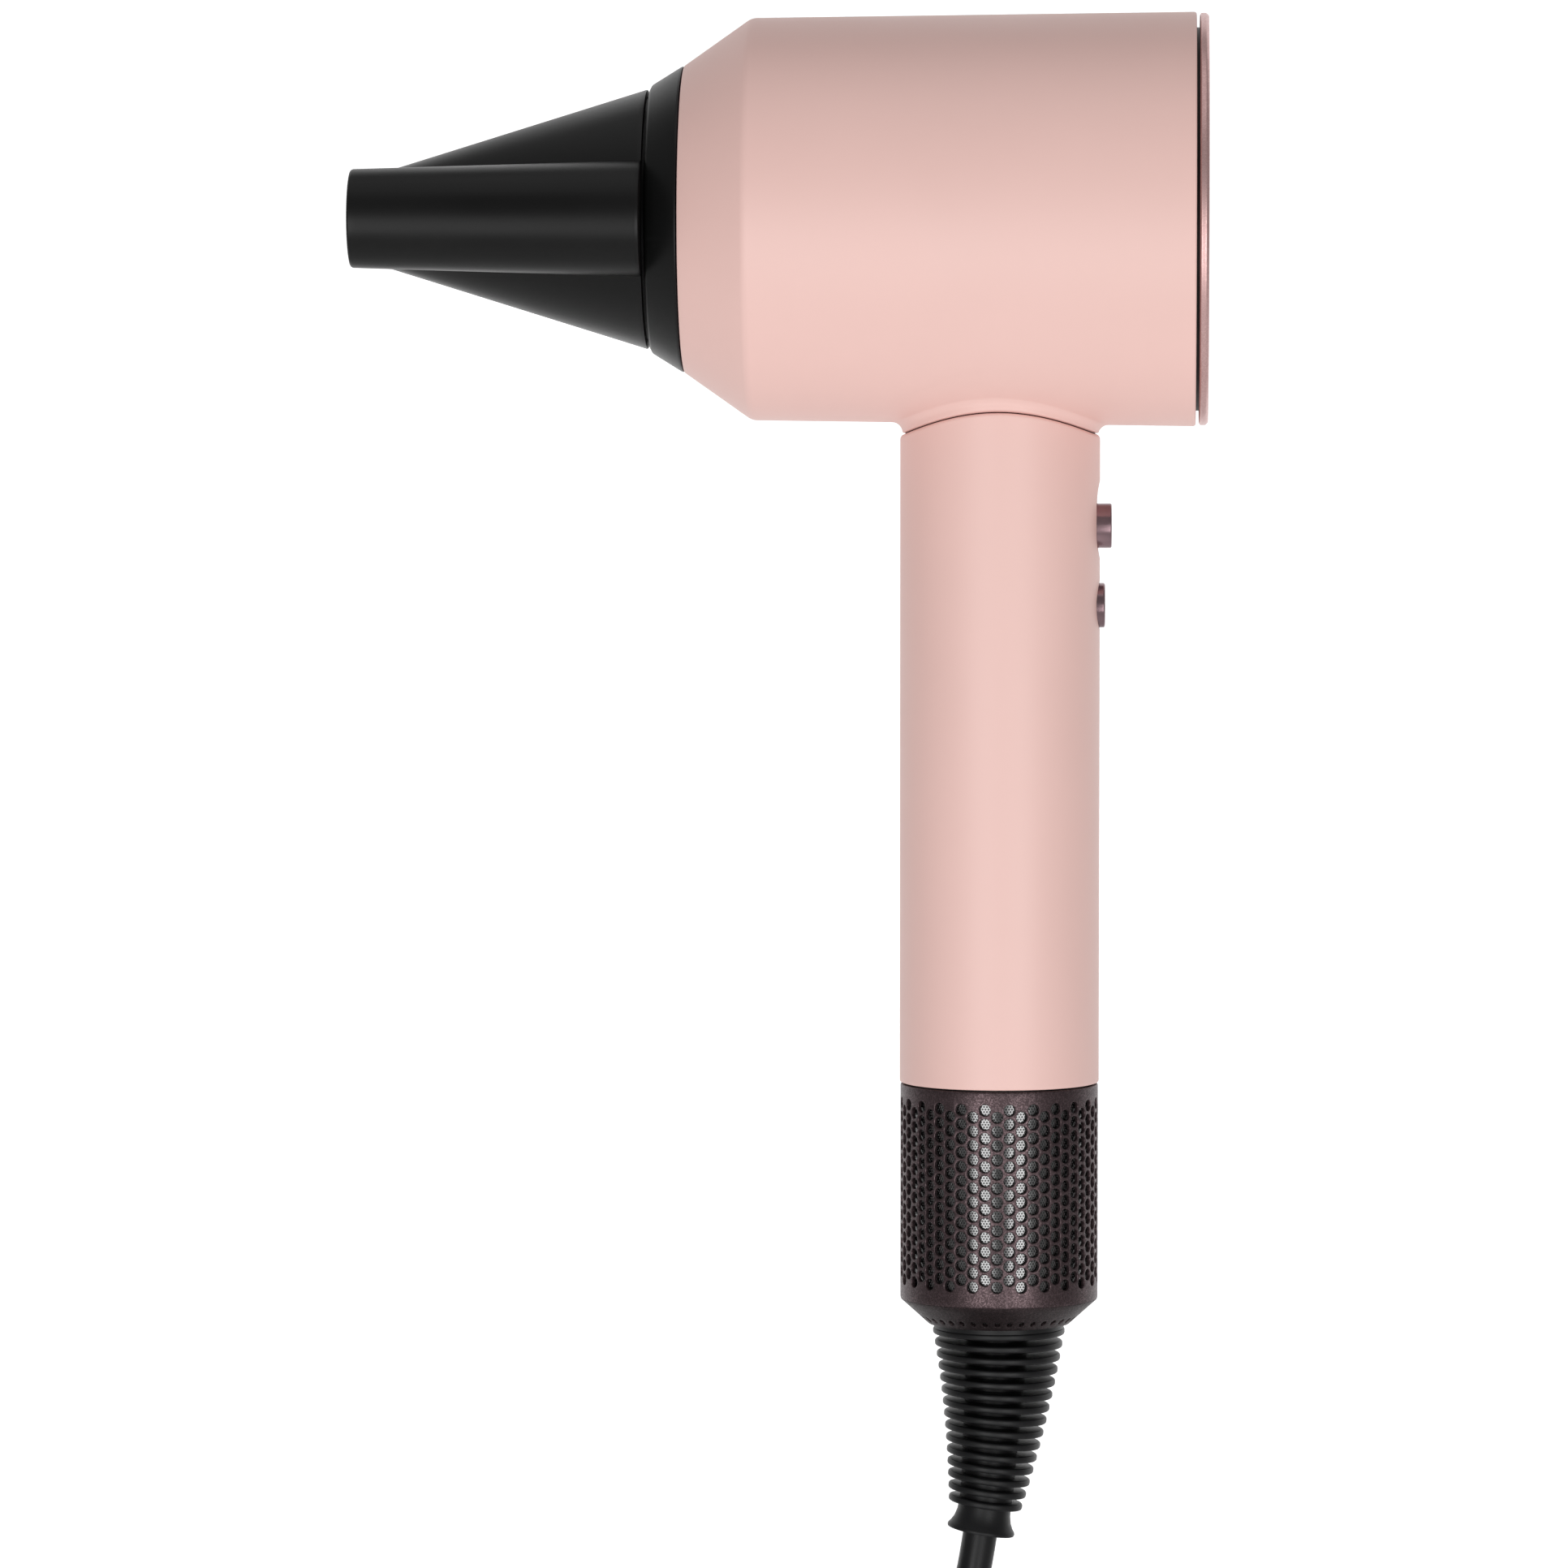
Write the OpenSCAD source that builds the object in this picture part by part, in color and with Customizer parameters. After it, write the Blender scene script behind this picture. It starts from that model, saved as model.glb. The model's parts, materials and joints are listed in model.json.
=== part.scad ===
// Hand-held hair dryer: a short round head that is open right through, on a straight
// round grip with its motor and filter inside, a flat styling nozzle and a mains cord.
// Millimetres, +Z up. The origin is on the head's axis, straight above the grip. The
// nozzle points to -X and the controls face +X.

/* [Head] */
// Largest radius of the head, at its rear edge
head_r = 38.6; // [34:0.1:44]
// Radius of the head at its front shoulder
shoulder_r = 37.55; // [33:0.05:43]
// Radius of the head's front edge
front_r = 28.7; // [25:0.1:32]
// Front edge, in front of the grip's axis
front_x = 59; // [50:0.5:70]
// Front shoulder, in front of the grip's axis
shoulder_x = 46.4; // [38:0.2:56]
// Rear edge of the shell, behind the grip's axis
rear_x = 36.5; // [30:0.5:45]
// Wall of the shells
wall = 2; // [1.6:0.1:3]
// Radius of the opening through the head
bore_r = 19.5; // [15:0.5:21]

/* [Grip] */
// Radius of the grip
grip_r = 18.7; // [16:0.1:22]
// From the head's axis down to the middle of the grip
grip_drop = 120; // [105:1:135]
// Bottom edge of the grip, below its middle
grip_bottom = 41.7; // [35:0.1:50]
// Radius, about the head's axis, of the seam between the head and the grip
seam_r = 40; // [39:0.25:42]
// Width of the parting lines
seam = 0.5; // [0.2:0.1:0.8]

/* [Controls] */
// Radius of the power slider's knob and of the cool-shot button
knob_r = 4.2; // [3:0.1:6]
// Height of the power slider's knob above the middle of the grip, when off
knob_z = 62.8; // [58:0.1:66]
// Height of the cool-shot button above the middle of the grip
cool_z = 47.9; // [42:0.1:52]
// Side offset of the two buttons on the back of the head
back_button_y = 28.3; // [26:0.1:30]

/* [Filter] */
// Outer radius of the filter cage
cage_r = 18.55; // [16:0.05:22]
// Columns of holes in the cage
cage_columns = 50; // [24:2:60]
// Holes in each column
cage_rows = 13; // [6:1:16]
// Diameter of a cage hole
hole_d = 2.15; // [1:0.05:3]
// Height from one hole to the next
hole_pitch = 2.65; // [2:0.05:4]

/* [Nozzle] */
// Tip of the nozzle, in front of the grip's axis
tip_x = 119.4; // [100:0.1:130]
// Half of the nozzle tip's width
tip_half_w = 34.5; // [28:0.5:38]
// Half of the nozzle tip's height
tip_half_h = 9.1; // [6:0.1:12]
// Half of the flat duct's width at its back end
end_half_w = 31.5; // [25:0.5:36]
// Half of the flat duct's height at its back end
end_half_h = 10.7; // [8:0.1:13]

/* [Cord] */
// Diameter of the mains cord
cord_d = 6.5; // [5:0.1:8]
// Rings on the strain relief
relief_rings = 15; // [8:1:20]
// Radius of the bend that the strain relief takes
relief_bend = 225; // [150:5:400]
// Diameter of the coil, at the middle of its turns
coil_d = 75; // [65:1:78]
// Turns that lie side by side in the coil
coil_columns = 4; // [2:1:6]
// Turns that lie on each other in the coil
coil_layers = 3; // [2:1:5]

/* [Hidden] */
$fn = 96;
e = 0.05;
shell_in_r = head_r - wall - 0.1;
neck_hole_r = 16.3;
grip_in_r = grip_r - wall;
cage_top = -grip_bottom - 0.3;
cage_bottom = -82.5;
collar_bottom = -87.3;
collar_end_r = 13.2;
collar_hole_r = 12.9;
first_row = -45.4;
liner_r = 17.5;
boss_r = 12.2;
relief_top = -88;
relief_angle = 9.93;
cord_r = cord_d / 2;
coil_x = -27;
coil_z = -200;
coil_in_r = coil_d / 2 - coil_layers * cord_r;
coil_out_r = coil_d / 2 + coil_layers * cord_r;
coil_half_w = coil_columns * cord_r;
side_y = coil_half_w - cord_r;
plug_top = -234;
plug_x = coil_x + coil_out_r - cord_r;
plug_y = side_y;
pin_gap = 19;
rim_x = 65.9;
rim_r = 24.3;
cone_slope = 0.311;
duct_wall = 1.3;

// Route of the cord from the strain relief to the coil, about the middle of the grip
cord_route = [
    [-3.4, 0, -126.8],
    [-3.9, 0, -130],
    [-4.6, 0, -134],
    [-5.5, 0, -138],
    [-6, -0.6, -142.9],
    [-5.8, -2.1, -147.7],
    [-5, -4.3, -152.5],
    [-3.5, -6.3, -157.2],
    [-1.3, -8.2, -161.5],
    [1.4, -9.3, -165.6],
    [4.2, -9.75, -168.8]
];

// Colours
pink = [0.90, 0.74, 0.70];
rose = [0.66, 0.50, 0.49];
plum = [0.42, 0.31, 0.35];
black = [0.10, 0.10, 0.11];
steel = [0.72, 0.73, 0.75];
copper = [0.76, 0.45, 0.27];
mica = [0.78, 0.74, 0.62];
board = [0.13, 0.33, 0.22];
dark = [0.22, 0.22, 0.24];
clear = [0.85, 0.87, 0.90];

// ---------- placing and shaping ----------

// Turns +Z to +X, so that what is drawn about Z lies about the head's axis.
module head_axis() {
    rotate([0, 90, 0])
        children();
}

// Moves what is drawn about the middle of the grip to its place.
module at_grip() {
    translate([0, 0, -grip_drop])
        children();
}

// A plain tube between two heights.
module tube(r_out, r_in, from, to) {
    translate([0, 0, from])
        difference() {
            cylinder(h = to - from, r = r_out);
            translate([0, 0, -e])
                cylinder(h = to - from + 2 * e, r = r_in);
        }
}

// A solid of revolution about the head's axis, from points [x, r].
module turned(points) {
    head_axis()
        rotate_extrude()
            polygon([for (p = points) [p[1], p[0]]]);
}

// A rod along X between two places.
module rod_x(r, from, to) {
    translate([from, 0, 0])
        rotate([0, 90, 0])
            cylinder(h = to - from, r = r);
}

// A pill along X: its length runs along Z, between two places in X.
module pill_x(length, width, from, to) {
    offset_z = (length - width) / 2;
    for (side = [-1, 1])
        translate([0, 0, side * offset_z])
            rod_x(width / 2, from, to);
    translate([from, -width / 2, -offset_z])
        cube([to - from, width, 2 * offset_z]);
}

// A flat slab with round ends, across X: w is half its width and h half its height.
module slab(w, h, x) {
    translate([x, 0, 0])
        hull()
            for (side = [-1, 1])
                translate([0, side * (w - h), 0])
                    rotate([0, 90, 0])
                        cylinder(h = 0.1, r = h, $fn = 40);
}

// Directions along a route of points, and a round tube swept along it.
function unit(v) = v / norm(v);
function heading(route, i) =
    unit(route[min(i + 1, len(route) - 1)] - route[max(i - 1, 0)]);
function ring_point(route, i, a, r) =
    let (
        t = heading(route, i),
        u = unit(cross([0, 1, 0], t)),
        v = cross(t, u)
    )
    route[i] + r * (cos(a) * u + sin(a) * v);

module swept(route, r, sides = 12) {
    last = len(route) - 1;
    points = [
        for (i = [0:last], k = [0:sides - 1])
            ring_point(route, i, k * 360 / sides, r)
    ];
    skin = [
        for (i = [0:last - 1], k = [0:sides - 1])
            [
                i * sides + k,
                (i + 1) * sides + k,
                (i + 1) * sides + (k + 1) % sides,
                i * sides + (k + 1) % sides
            ]
    ];
    near = [for (k = [0:sides - 1]) k];
    far = [for (k = [sides - 1:-1:0]) last * sides + k];
    polyhedron(points, concat(skin, [near, far]));
}

// ---------- head ----------

// Outer skin of the head, with the short collar that the grip's seam runs round.
module head_shell() {
    color(pink)
        difference() {
            union() {
                turned([
                    [-front_x, front_r - wall],
                    [-front_x, front_r],
                    [-shoulder_x, shoulder_r],
                    [rear_x, head_r],
                    [rear_x, shell_in_r],
                    [-shoulder_x + 1, shoulder_r - wall - 0.05],
                    [-front_x + 1.5, front_r - wall + 0.2],
                    [-front_x + 1.5, front_r - wall]
                ]);
                difference() {
                    translate([0, 0, -seam_r - 1])
                        cylinder(h = 14, r = grip_r - 0.4);
                    head_axis()
                        tube(seam_r + 8, seam_r - seam / 2, -30, 30);
                    head_axis()
                        translate([0, 0, -30])
                            cylinder(h = 60, r = shoulder_r - 1.2);
                }
            }
            translate([0, 0, -60])
                cylinder(h = 40, r = neck_hole_r);
        }
}

// Ring round the air outlet, with the pockets for the nozzle's magnets.
module outlet_ring() {
    color(black)
        difference() {
            union() {
                turned([
                    [-58.8, 23.4],
                    [-60.2, 23.4],
                    [-60.2, 24.6],
                    [-58.8, 24.6],
                    [-58.8, 26.5],
                    [-54, 26.5],
                    [-54, 23.4]
                ]);
                head_axis()
                    for (i = [0:5])
                        rotate([0, 0, 30 + i * 60])
                            translate([21.05, -0.5, -57])
                                cube([2.6, 1, 3]);
            }
            head_axis()
                for (i = [0:11])
                    rotate([0, 0, i * 30])
                        translate([25.55, 0, -58.9])
                            cylinder(h = 2.8, r = 0.85, $fn = 32);
        }
}

// Small magnets that hold the nozzle on.
module front_magnets() {
    color(steel)
        head_axis()
            for (i = [0:11])
                rotate([0, 0, i * 30])
                    translate([25.55, 0, -58.7])
                        cylinder(h = 2.5, r = 0.8, $fn = 32);
}

// Tube that lines the opening through the head.
module inner_tube() {
    color(dark)
        head_axis()
            tube(bore_r + 1.5, bore_r, -57.5, 33);
}

// Two mica sleeves and the plates between them that carry the heater.
module heater_frame() {
    color(mica)
        head_axis() {
            tube(24.2, 23.6, -44, -20);
            tube(33.8, 33.2, -44, -20);
            for (i = [0:7])
                rotate([0, 0, i * 45])
                    translate([23.9, -0.3, -44])
                        cube([9.6, 0.6, 24]);
        }
}

// Resistance wire: five sets of three rings, joined by bars.
module heater_wire() {
    color(steel)
        head_axis() {
            for (z = [-41:4.5:-23], r = [26, 28.5, 31])
                translate([0, 0, z])
                    rotate_extrude()
                        translate([r, 0])
                            circle(r = 0.5, $fn = 24);
            rotate([0, 0, 22.5]) {
                for (r = [26, 28.5, 31])
                    translate([r, 0, -41])
                        cylinder(h = 18, r = 0.4, $fn = 24);
                translate([26, 0, -41])
                    rotate([0, 90, 0])
                        cylinder(h = 5, r = 0.4, $fn = 24);
            }
        }
}

// Thermal cut-out on the back edge of one heater plate.
module thermal_cutout() {
    color(steel)
        head_axis()
            rotate([0, 0, 90])
                translate([25.5, -3, -20])
                    cube([6, 6, 4.5]);
}

// Bead and legs that measure the outgoing air.
module thermistor() {
    color(dark)
        head_axis()
            rotate([0, 0, 135]) {
                translate([27.5, 0, -49])
                    sphere(r = 1.2, $fn = 32);
                for (side = [-1, 1])
                    translate([27.5 + side * 0.7, 0, -49])
                        cylinder(h = 5, r = 0.3, $fn = 24);
            }
}

// Ioniser block on a post below the top of the head, with its needle.
module ioniser() {
    color(black) {
        translate([-14, -8, 24.5])
            cube([14, 16, 7.5]);
        translate([-7, 0, 31])
            cylinder(h = 4.7, r = 1.5, $fn = 32);
    }
    color(steel)
        translate([0, 0, 28])
            rod_x(0.4, -18, -13, $fn = 24);
}

// Wall that keeps the air out of the rear of the head.
module bulkhead() {
    color(black)
        head_axis()
            difference() {
                tube(36, 21.2, 17.5, 19);
                for (side = [-1, 1])
                    translate([29, side * 3, 17])
                        cylinder(h = 3, r = 1.2, $fn = 32);
            }
}

// Round circuit board behind the back cover.
module control_board() {
    color(board)
        head_axis()
            tube(35.2, 24, 28.4, 30);
}

// Parts that stand on the front of the circuit board.
module board_parts() {
    color(dark)
        head_axis() {
            for (a = [50, 90, 180, 230])
                rotate([0, 0, a])
                    translate([29.5, 0, 20.4])
                        cylinder(h = 8, r = 4, $fn = 48);
            for (a = [130, 275, 310])
                rotate([0, 0, a])
                    translate([26, -5, 22.4])
                        cube([7, 10, 6]);
        }
}

// Push switches behind the two buttons on the back.
module tact_switches() {
    color(black)
        for (side = [-1, 1])
            translate([30, side * back_button_y, 0]) {
                translate([0, -3, -3])
                    cube([1.7, 6, 6]);
                rod_x(1.5, 1, 1.8, $fn = 32);
            }
}

// Back cover, with the openings for the buttons and the lights.
module rear_cover() {
    color(black)
        difference() {
            turned([
                [33.5, 36.3],
                [36.2, 36.3],
                [36.2, 35.7],
                [37.1, 35.7],
                [37.1, 33.3],
                [37.6, 33.3],
                [37.6, 24.5],
                [33.2, bore_r + 0.1],
                [33.2, 21.4],
                [35.5, 24.3],
                [35.5, 34],
                [33.5, 34]
            ]);
            for (side = [-1, 1])
                translate([0, side * back_button_y, 0])
                    pill_x(9.3, 5.5, 34, 39);
            light_places()
                rod_x(0.75, 34, 39, $fn = 24);
        }
}

// The six places of the lights, three above each button.
module light_places() {
    for (side = [-1, 1], a = [22, 30, 38])
        rotate([side * a, 0, 0])
            translate([0, side * back_button_y, 0])
                children();
}

// Metal ring round the back of the head.
module rear_trim_ring() {
    color(rose)
        turned([
            [37.1, 33.4],
            [37.1, 37.9],
            [37.5, 38.4],
            [38.4, 38.4],
            [38.8, 38],
            [38.8, 33.8],
            [38.4, 33.4]
        ]);
}

// Button on the back of the head: a pill with a flange behind the cover.
module back_button() {
    color(rose) {
        pill_x(9, 5.2, 34.5, 38.4);
        pill_x(11, 7.2, 33.6, 35.2);
        rod_x(1.4, 32.7, 34, $fn = 32);
    }
}

module airflow_button() {
    translate([0, -back_button_y, 0])
        back_button();
}

module heat_button() {
    translate([0, back_button_y, 0])
        back_button();
}

// Light guides that show the chosen setting.
module indicator_lenses() {
    color(clear)
        light_places()
            rod_x(0.7, 35.6, 37.75, $fn = 24);
}

// ---------- grip ----------

// Grip: one round tube, cut to the head's curve, open for the controls.
module handle_shell() {
    color(pink)
        difference() {
            at_grip()
                tube(grip_r, grip_in_r, -grip_bottom, 95);
            head_axis()
                translate([0, 0, -30])
                    cylinder(h = 60, r = seam_r + seam / 2);
            at_grip() {
                translate([0, 0, 63.9])
                    pill_x(14.1, 8.9, 12, 22);
                translate([0, 0, cool_z])
                    rod_x(knob_r + 0.15, 12, 22);
            }
        }
}

// Short duct that carries the air from the grip into the head.
module neck_duct() {
    color(dark)
        at_grip()
            difference() {
                tube(16.2, 14.8, 77.5, 86);
                lead_channel(77, 87);
            }
}

// Power slider: round knob on a plate that slides behind the wall.
module power_slider() {
    color(plum)
        at_grip() {
            translate([0, 0, knob_z])
                rod_x(knob_r, 15, 20.9);
            translate([14.4, -5, 53.7])
                cube([1.1, 10, 17.8]);
        }
}

// Lever that links the slider to its switch.
module slider_lever() {
    color(black)
        at_grip()
            translate([10.1, -1.2, knob_z - 1.8])
                cube([4.3, 2.4, 3.6]);
}

// Frame that holds the switches behind the controls.
module switch_carrier() {
    color(black)
        at_grip() {
            difference() {
                intersection() {
                    translate([11, -13, 40])
                        cube([1, 26, 36]);
                    cylinder(h = 90, r = 16.6);
                }
                translate([10.5, -1.8, 60])
                    cube([2, 3.6, 9.2]);
                translate([0, 0, cool_z])
                    rod_x(1.8, 10.5, 12.5, $fn = 32);
            }
            for (side = [-1, 1], z = [42.5, 73.5])
                translate([0, side * 6, z])
                    rod_x(1.2, 8, 11.2, $fn = 32);
        }
}

// Circuit board of the switches.
module switch_board() {
    color(board)
        at_grip()
            translate([6.5, -8, 40])
                cube([1.5, 16, 36]);
}

// Body of the slide switch.
module slide_switch() {
    color(steel)
        at_grip()
            translate([8, -3.5, 57])
                cube([2, 7, 14]);
}

// Body and plunger of the cool-shot switch.
module cool_switch() {
    color(black)
        at_grip() {
            translate([8, -3, cool_z - 3])
                cube([1, 6, 6]);
            translate([0, 0, cool_z])
                rod_x(1.2, 8.5, 9.5, $fn = 32);
        }
}

// Cool-shot button, with its flange and stem.
module cool_shot_button() {
    color(plum)
        at_grip()
            translate([0, 0, cool_z]) {
                rod_x(knob_r, 15, 19.7);
                rod_x(5.2, 14.4, 15.5);
                rod_x(1.4, 10.8, 14.6, $fn = 32);
            }
}

// Return spring of the cool-shot button, drawn as its turns side by side.
module cool_shot_spring() {
    color(steel)
        at_grip()
            translate([12, 0, cool_z])
                rotate([0, 90, 0])
                    for (i = [0:4])
                        translate([0, 0, 0.25 + i * 0.47])
                            rotate_extrude()
                                translate([2.8, 0])
                                    circle(r = 0.25, $fn = 16);
}

// Room for the leads, cut along the left side of what surrounds the motor.
module lead_channel(from, to) {
    translate([-18, -2.8, from])
        cube([5, 5.6, to - from]);
}

// Foam that quietens the air above the motor.
module foam_sleeve() {
    color(dark)
        at_grip()
            difference() {
                tube(16.5, 13.9, 8, 38);
                lead_channel(7, 39);
            }
}

// Rubber mount that isolates the motor from the grip.
module motor_mount() {
    color(black)
        at_grip()
            difference() {
                tube(16.5, 13.75, -36, 4);
                lead_channel(-37, 5);
            }
}

// Shroud round the impeller and the motor.
module motor_shroud() {
    color(steel)
        at_grip()
            tube(13.7, 13, -38, 6);
}

// Motor housing with its guide vanes and bearing seats.
module diffuser() {
    color(dark)
        at_grip()
            difference() {
                union() {
                    translate([0, 0, -23])
                        cylinder(h = 25, r = 9);
                    for (i = [0:8])
                        rotate([0, 0, i * 40])
                            translate([10.7, 0, -19.5])
                                rotate([-20, 0, 0])
                                    cube([4.2, 0.8, 7], center = true);
                }
                translate([0, 0, -20])
                    cylinder(h = 19, r = 8.2);
                translate([0, 0, -24])
                    cylinder(h = 27, r = 4.05);
            }
}

// The two ball bearings of the motor.
module motor_bearings() {
    color(steel)
        at_grip()
            for (z = [-23, -1])
                tube(4, 1.6, z, z + 3);
}

module motor_shaft() {
    color(steel)
        at_grip()
            translate([0, 0, -36])
                cylinder(h = 39.6, r = 1.5);
}

module rotor_magnet() {
    color(dark)
        at_grip()
            tube(3.2, 1.5, -13, -4);
}

// Stator: a ring with four teeth.
module stator_core() {
    color(steel)
        at_grip()
            difference() {
                union() {
                    tube(8.1, 7, -14, -3);
                    for (i = [0:3])
                        rotate([0, 0, i * 90])
                            translate([3.6, -1.5, -14])
                                cube([3.8, 3, 11]);
                }
                translate([0, 0, -15])
                    cylinder(h = 13, r = 3.7);
            }
}

// Four coils round the stator's teeth.
module stator_windings() {
    color(copper)
        at_grip()
            for (i = [0:3])
                rotate([0, 0, i * 90])
                    translate([4.6, 0, -8.5])
                        difference() {
                            translate([0, -2.7, -6.7])
                                cube([1.9, 5.4, 13.4]);
                            translate([-1, -1.55, -5.55])
                                cube([4, 3.1, 11.1]);
                        }
}

// Impeller: a hub with thirteen leaning blades.
module impeller() {
    color(steel)
        at_grip() {
            tube(8.6, 1.5, -34, -25);
            intersection() {
                for (i = [0:12])
                    rotate([0, 0, i * 360 / 13])
                        translate([10.5, 0, -29.5])
                            rotate([35, 0, 0])
                                cube([4.4, 0.8, 9], center = true);
                tube(12.7, 8, -34, -25);
            }
        }
}

// Motor driver board on its posts.
module motor_board() {
    color(board)
        at_grip() {
            translate([0, 0, 4.4])
                cylinder(h = 1.2, r = 8.8);
            for (i = [0:2])
                rotate([0, 0, 60 + i * 120])
                    translate([6.5, 0, 2])
                        cylinder(h = 3, r = 0.8, $fn = 32);
        }
}

// Leads from the motor's board up to the switches.
module motor_leads() {
    color(rose)
        at_grip()
            for (side = [-1:1])
                translate([7.2, side * 3, 5.6])
                    cylinder(h = 34.4, r = 0.6, $fn = 24);
}

// Leads from the switches up into the head and back to its board.
module head_leads() {
    color(dark)
        for (side = [-1, 1])
            translate([7.2, side * 3, -29]) {
                translate([0, 0, -15])
                    cylinder(h = 15, r = 0.7, $fn = 24);
                sphere(r = 0.7, $fn = 24);
                rod_x(0.7, 0, 21.2, $fn = 24);
            }
}

// Mains leads along the side of the grip, up to the heater.
module mains_leads() {
    color(black)
        for (side = [-1, 1])
            translate([-15.1, side * 1.2, -30]) {
                translate([0, 0, -167])
                    cylinder(h = 167, r = 0.9, $fn = 24);
                for (z = [-167, 0])
                    translate([0, 0, z])
                        sphere(r = 0.9, $fn = 24);
                rotate([0, 180, 0])
                    rod_x(0.9, 0, 4.9, $fn = 24);
                translate([0, 0, -167])
                    rod_x(0.9, 0, 7.1, $fn = 24);
            }
}

// ---------- base, filter and cord ----------

// Skeleton inside the filter: a ring in the grip, six ribs and a base disc.
module inlet_frame() {
    color(black)
        at_grip() {
            difference() {
                tube(16.6, 14, -45, -38.3);
                lead_channel(-46, -38);
            }
            intersection() {
                for (i = [0:5])
                    rotate([0, 0, 30 + i * 60])
                        translate([14.2, -1.5, -82])
                            cube([3, 3, 38]);
                cylinder(h = 200, r = 16.2, center = true);
            }
            tube(16.2, 3.6, -83.2, -81.4);
        }
}

// Fine mesh drum behind the cage.
module filter_mesh() {
    color(steel)
        at_grip()
            tube(liner_r, liner_r - 0.3, -81, -44.5);
}

// Perforated cage: columns of round holes, each set half a step from its neighbours. A low
// column faces the right side, -Y.
module filter_cage() {
    color(plum)
        at_grip()
            difference() {
                tube(cage_r, cage_r - 0.7, cage_bottom, cage_top);
                for (i = [0:cage_columns / 2 - 1], j = [0:cage_rows - 1], k = [0, 1])
                    rotate([0, 0, (2 * i + k + 0.5) * 360 / cage_columns])
                        translate([cage_r - 2, 0, first_row - (j + k / 2) * hole_pitch])
                            rotate([0, 90, 0])
                                cylinder(h = 3, d = hole_d, $fn = 32);
            }
}

// Tapered collar that closes the cage round the strain relief.
module filter_collar() {
    color(plum)
        at_grip()
            rotate_extrude()
                polygon([
                    [collar_hole_r, collar_bottom],
                    [collar_end_r, collar_bottom],
                    [cage_r, cage_bottom],
                    [cage_r - 0.7, cage_bottom],
                    [cage_r - 0.7, cage_bottom - 0.2],
                    [collar_hole_r, collar_bottom + 0.8]
                ]);
}

// Places a child at an angle along the bend of the strain relief, its Z along the bend.
module along_relief(angle) {
    translate([-relief_bend, 0, relief_top])
        rotate([0, angle, 0])
            translate([relief_bend, 0, 0])
                rotate([180, 0, 0])
                    children();
}

// Strain relief: a boss, a bent core with tapering rings, and a flared end.
module strain_relief() {
    color(black)
        at_grip() {
            translate([0, 0, relief_top])
                cylinder(h = 4.8, r = boss_r);
            translate([-relief_bend, 0, relief_top])
                rotate([-90, 0, 0])
                    rotate_extrude(angle = relief_angle, $fn = 720)
                        translate([relief_bend, 0])
                            circle(r = 5.1, $fn = 48);
            for (i = [0:relief_rings - 1])
                along_relief((0.7 + 2.33 * i) / relief_bend * 180 / PI)
                    translate([0, 0, -0.75])
                        cylinder(h = 1.5, r = 12.4 - i * 5.4 / 14);
            along_relief(relief_angle)
                translate([0, 0, -4.6])
                    cylinder(h = 4.6, r1 = 5, r2 = 6.4);
        }
}

// Clamp that holds the cord inside the base.
module cord_anchor() {
    color(black)
        at_grip()
            difference() {
                translate([-8, -4, -81.4])
                    cube([16, 8, 7]);
                for (side = [-1, 1])
                    translate([side * 5.6, 0, -82])
                        cylinder(h = 9, r = 1.1, $fn = 32);
            }
}

// Screws of the cord clamp.
module anchor_screws() {
    color(steel)
        at_grip()
            for (side = [-1, 1])
                translate([side * 5.6, 0, -81.3]) {
                    cylinder(h = 7, r = 1, $fn = 32);
                    translate([0, 0, 6.9])
                        cylinder(h = 1.4, r = 1.9, $fn = 32);
                }
}

// The cord, from the strain relief to the coil.
module cord_lead() {
    color(black)
        at_grip()
            swept(cord_route, cord_r);
}

// Outline of the coil's bundle of turns, grown by a margin.
module bundle(grow) {
    w = coil_out_r - coil_in_r + 2 * grow;
    h = 2 * coil_half_w + 2 * grow;
    r = cord_r + grow;
    translate([coil_d / 2, 0]) {
        square([w, h - 2 * r], center = true);
        square([w - 2 * r, h], center = true);
        for (x = [-1, 1], y = [-1, 1])
            translate([x * (w / 2 - r), y * (h / 2 - r)])
                circle(r = r, $fn = 48);
    }
}

// Moves what is drawn about Z to the coil's axis, which lies along Y.
module at_coil() {
    at_grip()
        translate([coil_x, 0, coil_z])
            rotate([90, 0, 0])
                children();
}

// The spare length of the cord, wound into one neat coil.
module cord_coil() {
    color(black)
        at_coil()
            rotate_extrude()
                bundle(0);
}

// The cord, from the coil to the plug.
module cord_tail() {
    color(black)
        at_grip()
            translate([plug_x, plug_y, plug_top])
                cylinder(h = 26, r = cord_r);
}

// Strap round the coil.
module cord_tie() {
    color(dark)
        at_coil()
            rotate([0, 0, 128])
                rotate_extrude(angle = 14)
                    difference() {
                        bundle(1.2);
                        bundle(0);
                    }
}

// Plug: a flat tapered body with the cord's gland.
module plug_body() {
    color(black)
        at_grip()
            translate([plug_x, plug_y, plug_top]) {
                translate([0, 0, -8])
                    cylinder(h = 8, r1 = 6.5, r2 = 5);
                translate([-9, 0, 0])
                    rotate([90, 0, 90])
                        linear_extrude(18)
                            polygon([
                                [-6.5, -6],
                                [6.5, -6],
                                [9, -10],
                                [17.5, -20],
                                [18.5, -23],
                                [18.5, -34],
                                [17, -36],
                                [-17, -36],
                                [-18.5, -34],
                                [-18.5, -23],
                                [-17.5, -20],
                                [-9, -10]
                            ]);
            }
}

// Round pins of the plug.
module plug_pins() {
    color(steel)
        at_grip()
            for (side = [-1, 1])
                translate([plug_x, plug_y + side * pin_gap / 2, plug_top - 55])
                    cylinder(h = 19, r = 2.4);
}

// ---------- nozzle ----------

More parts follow.
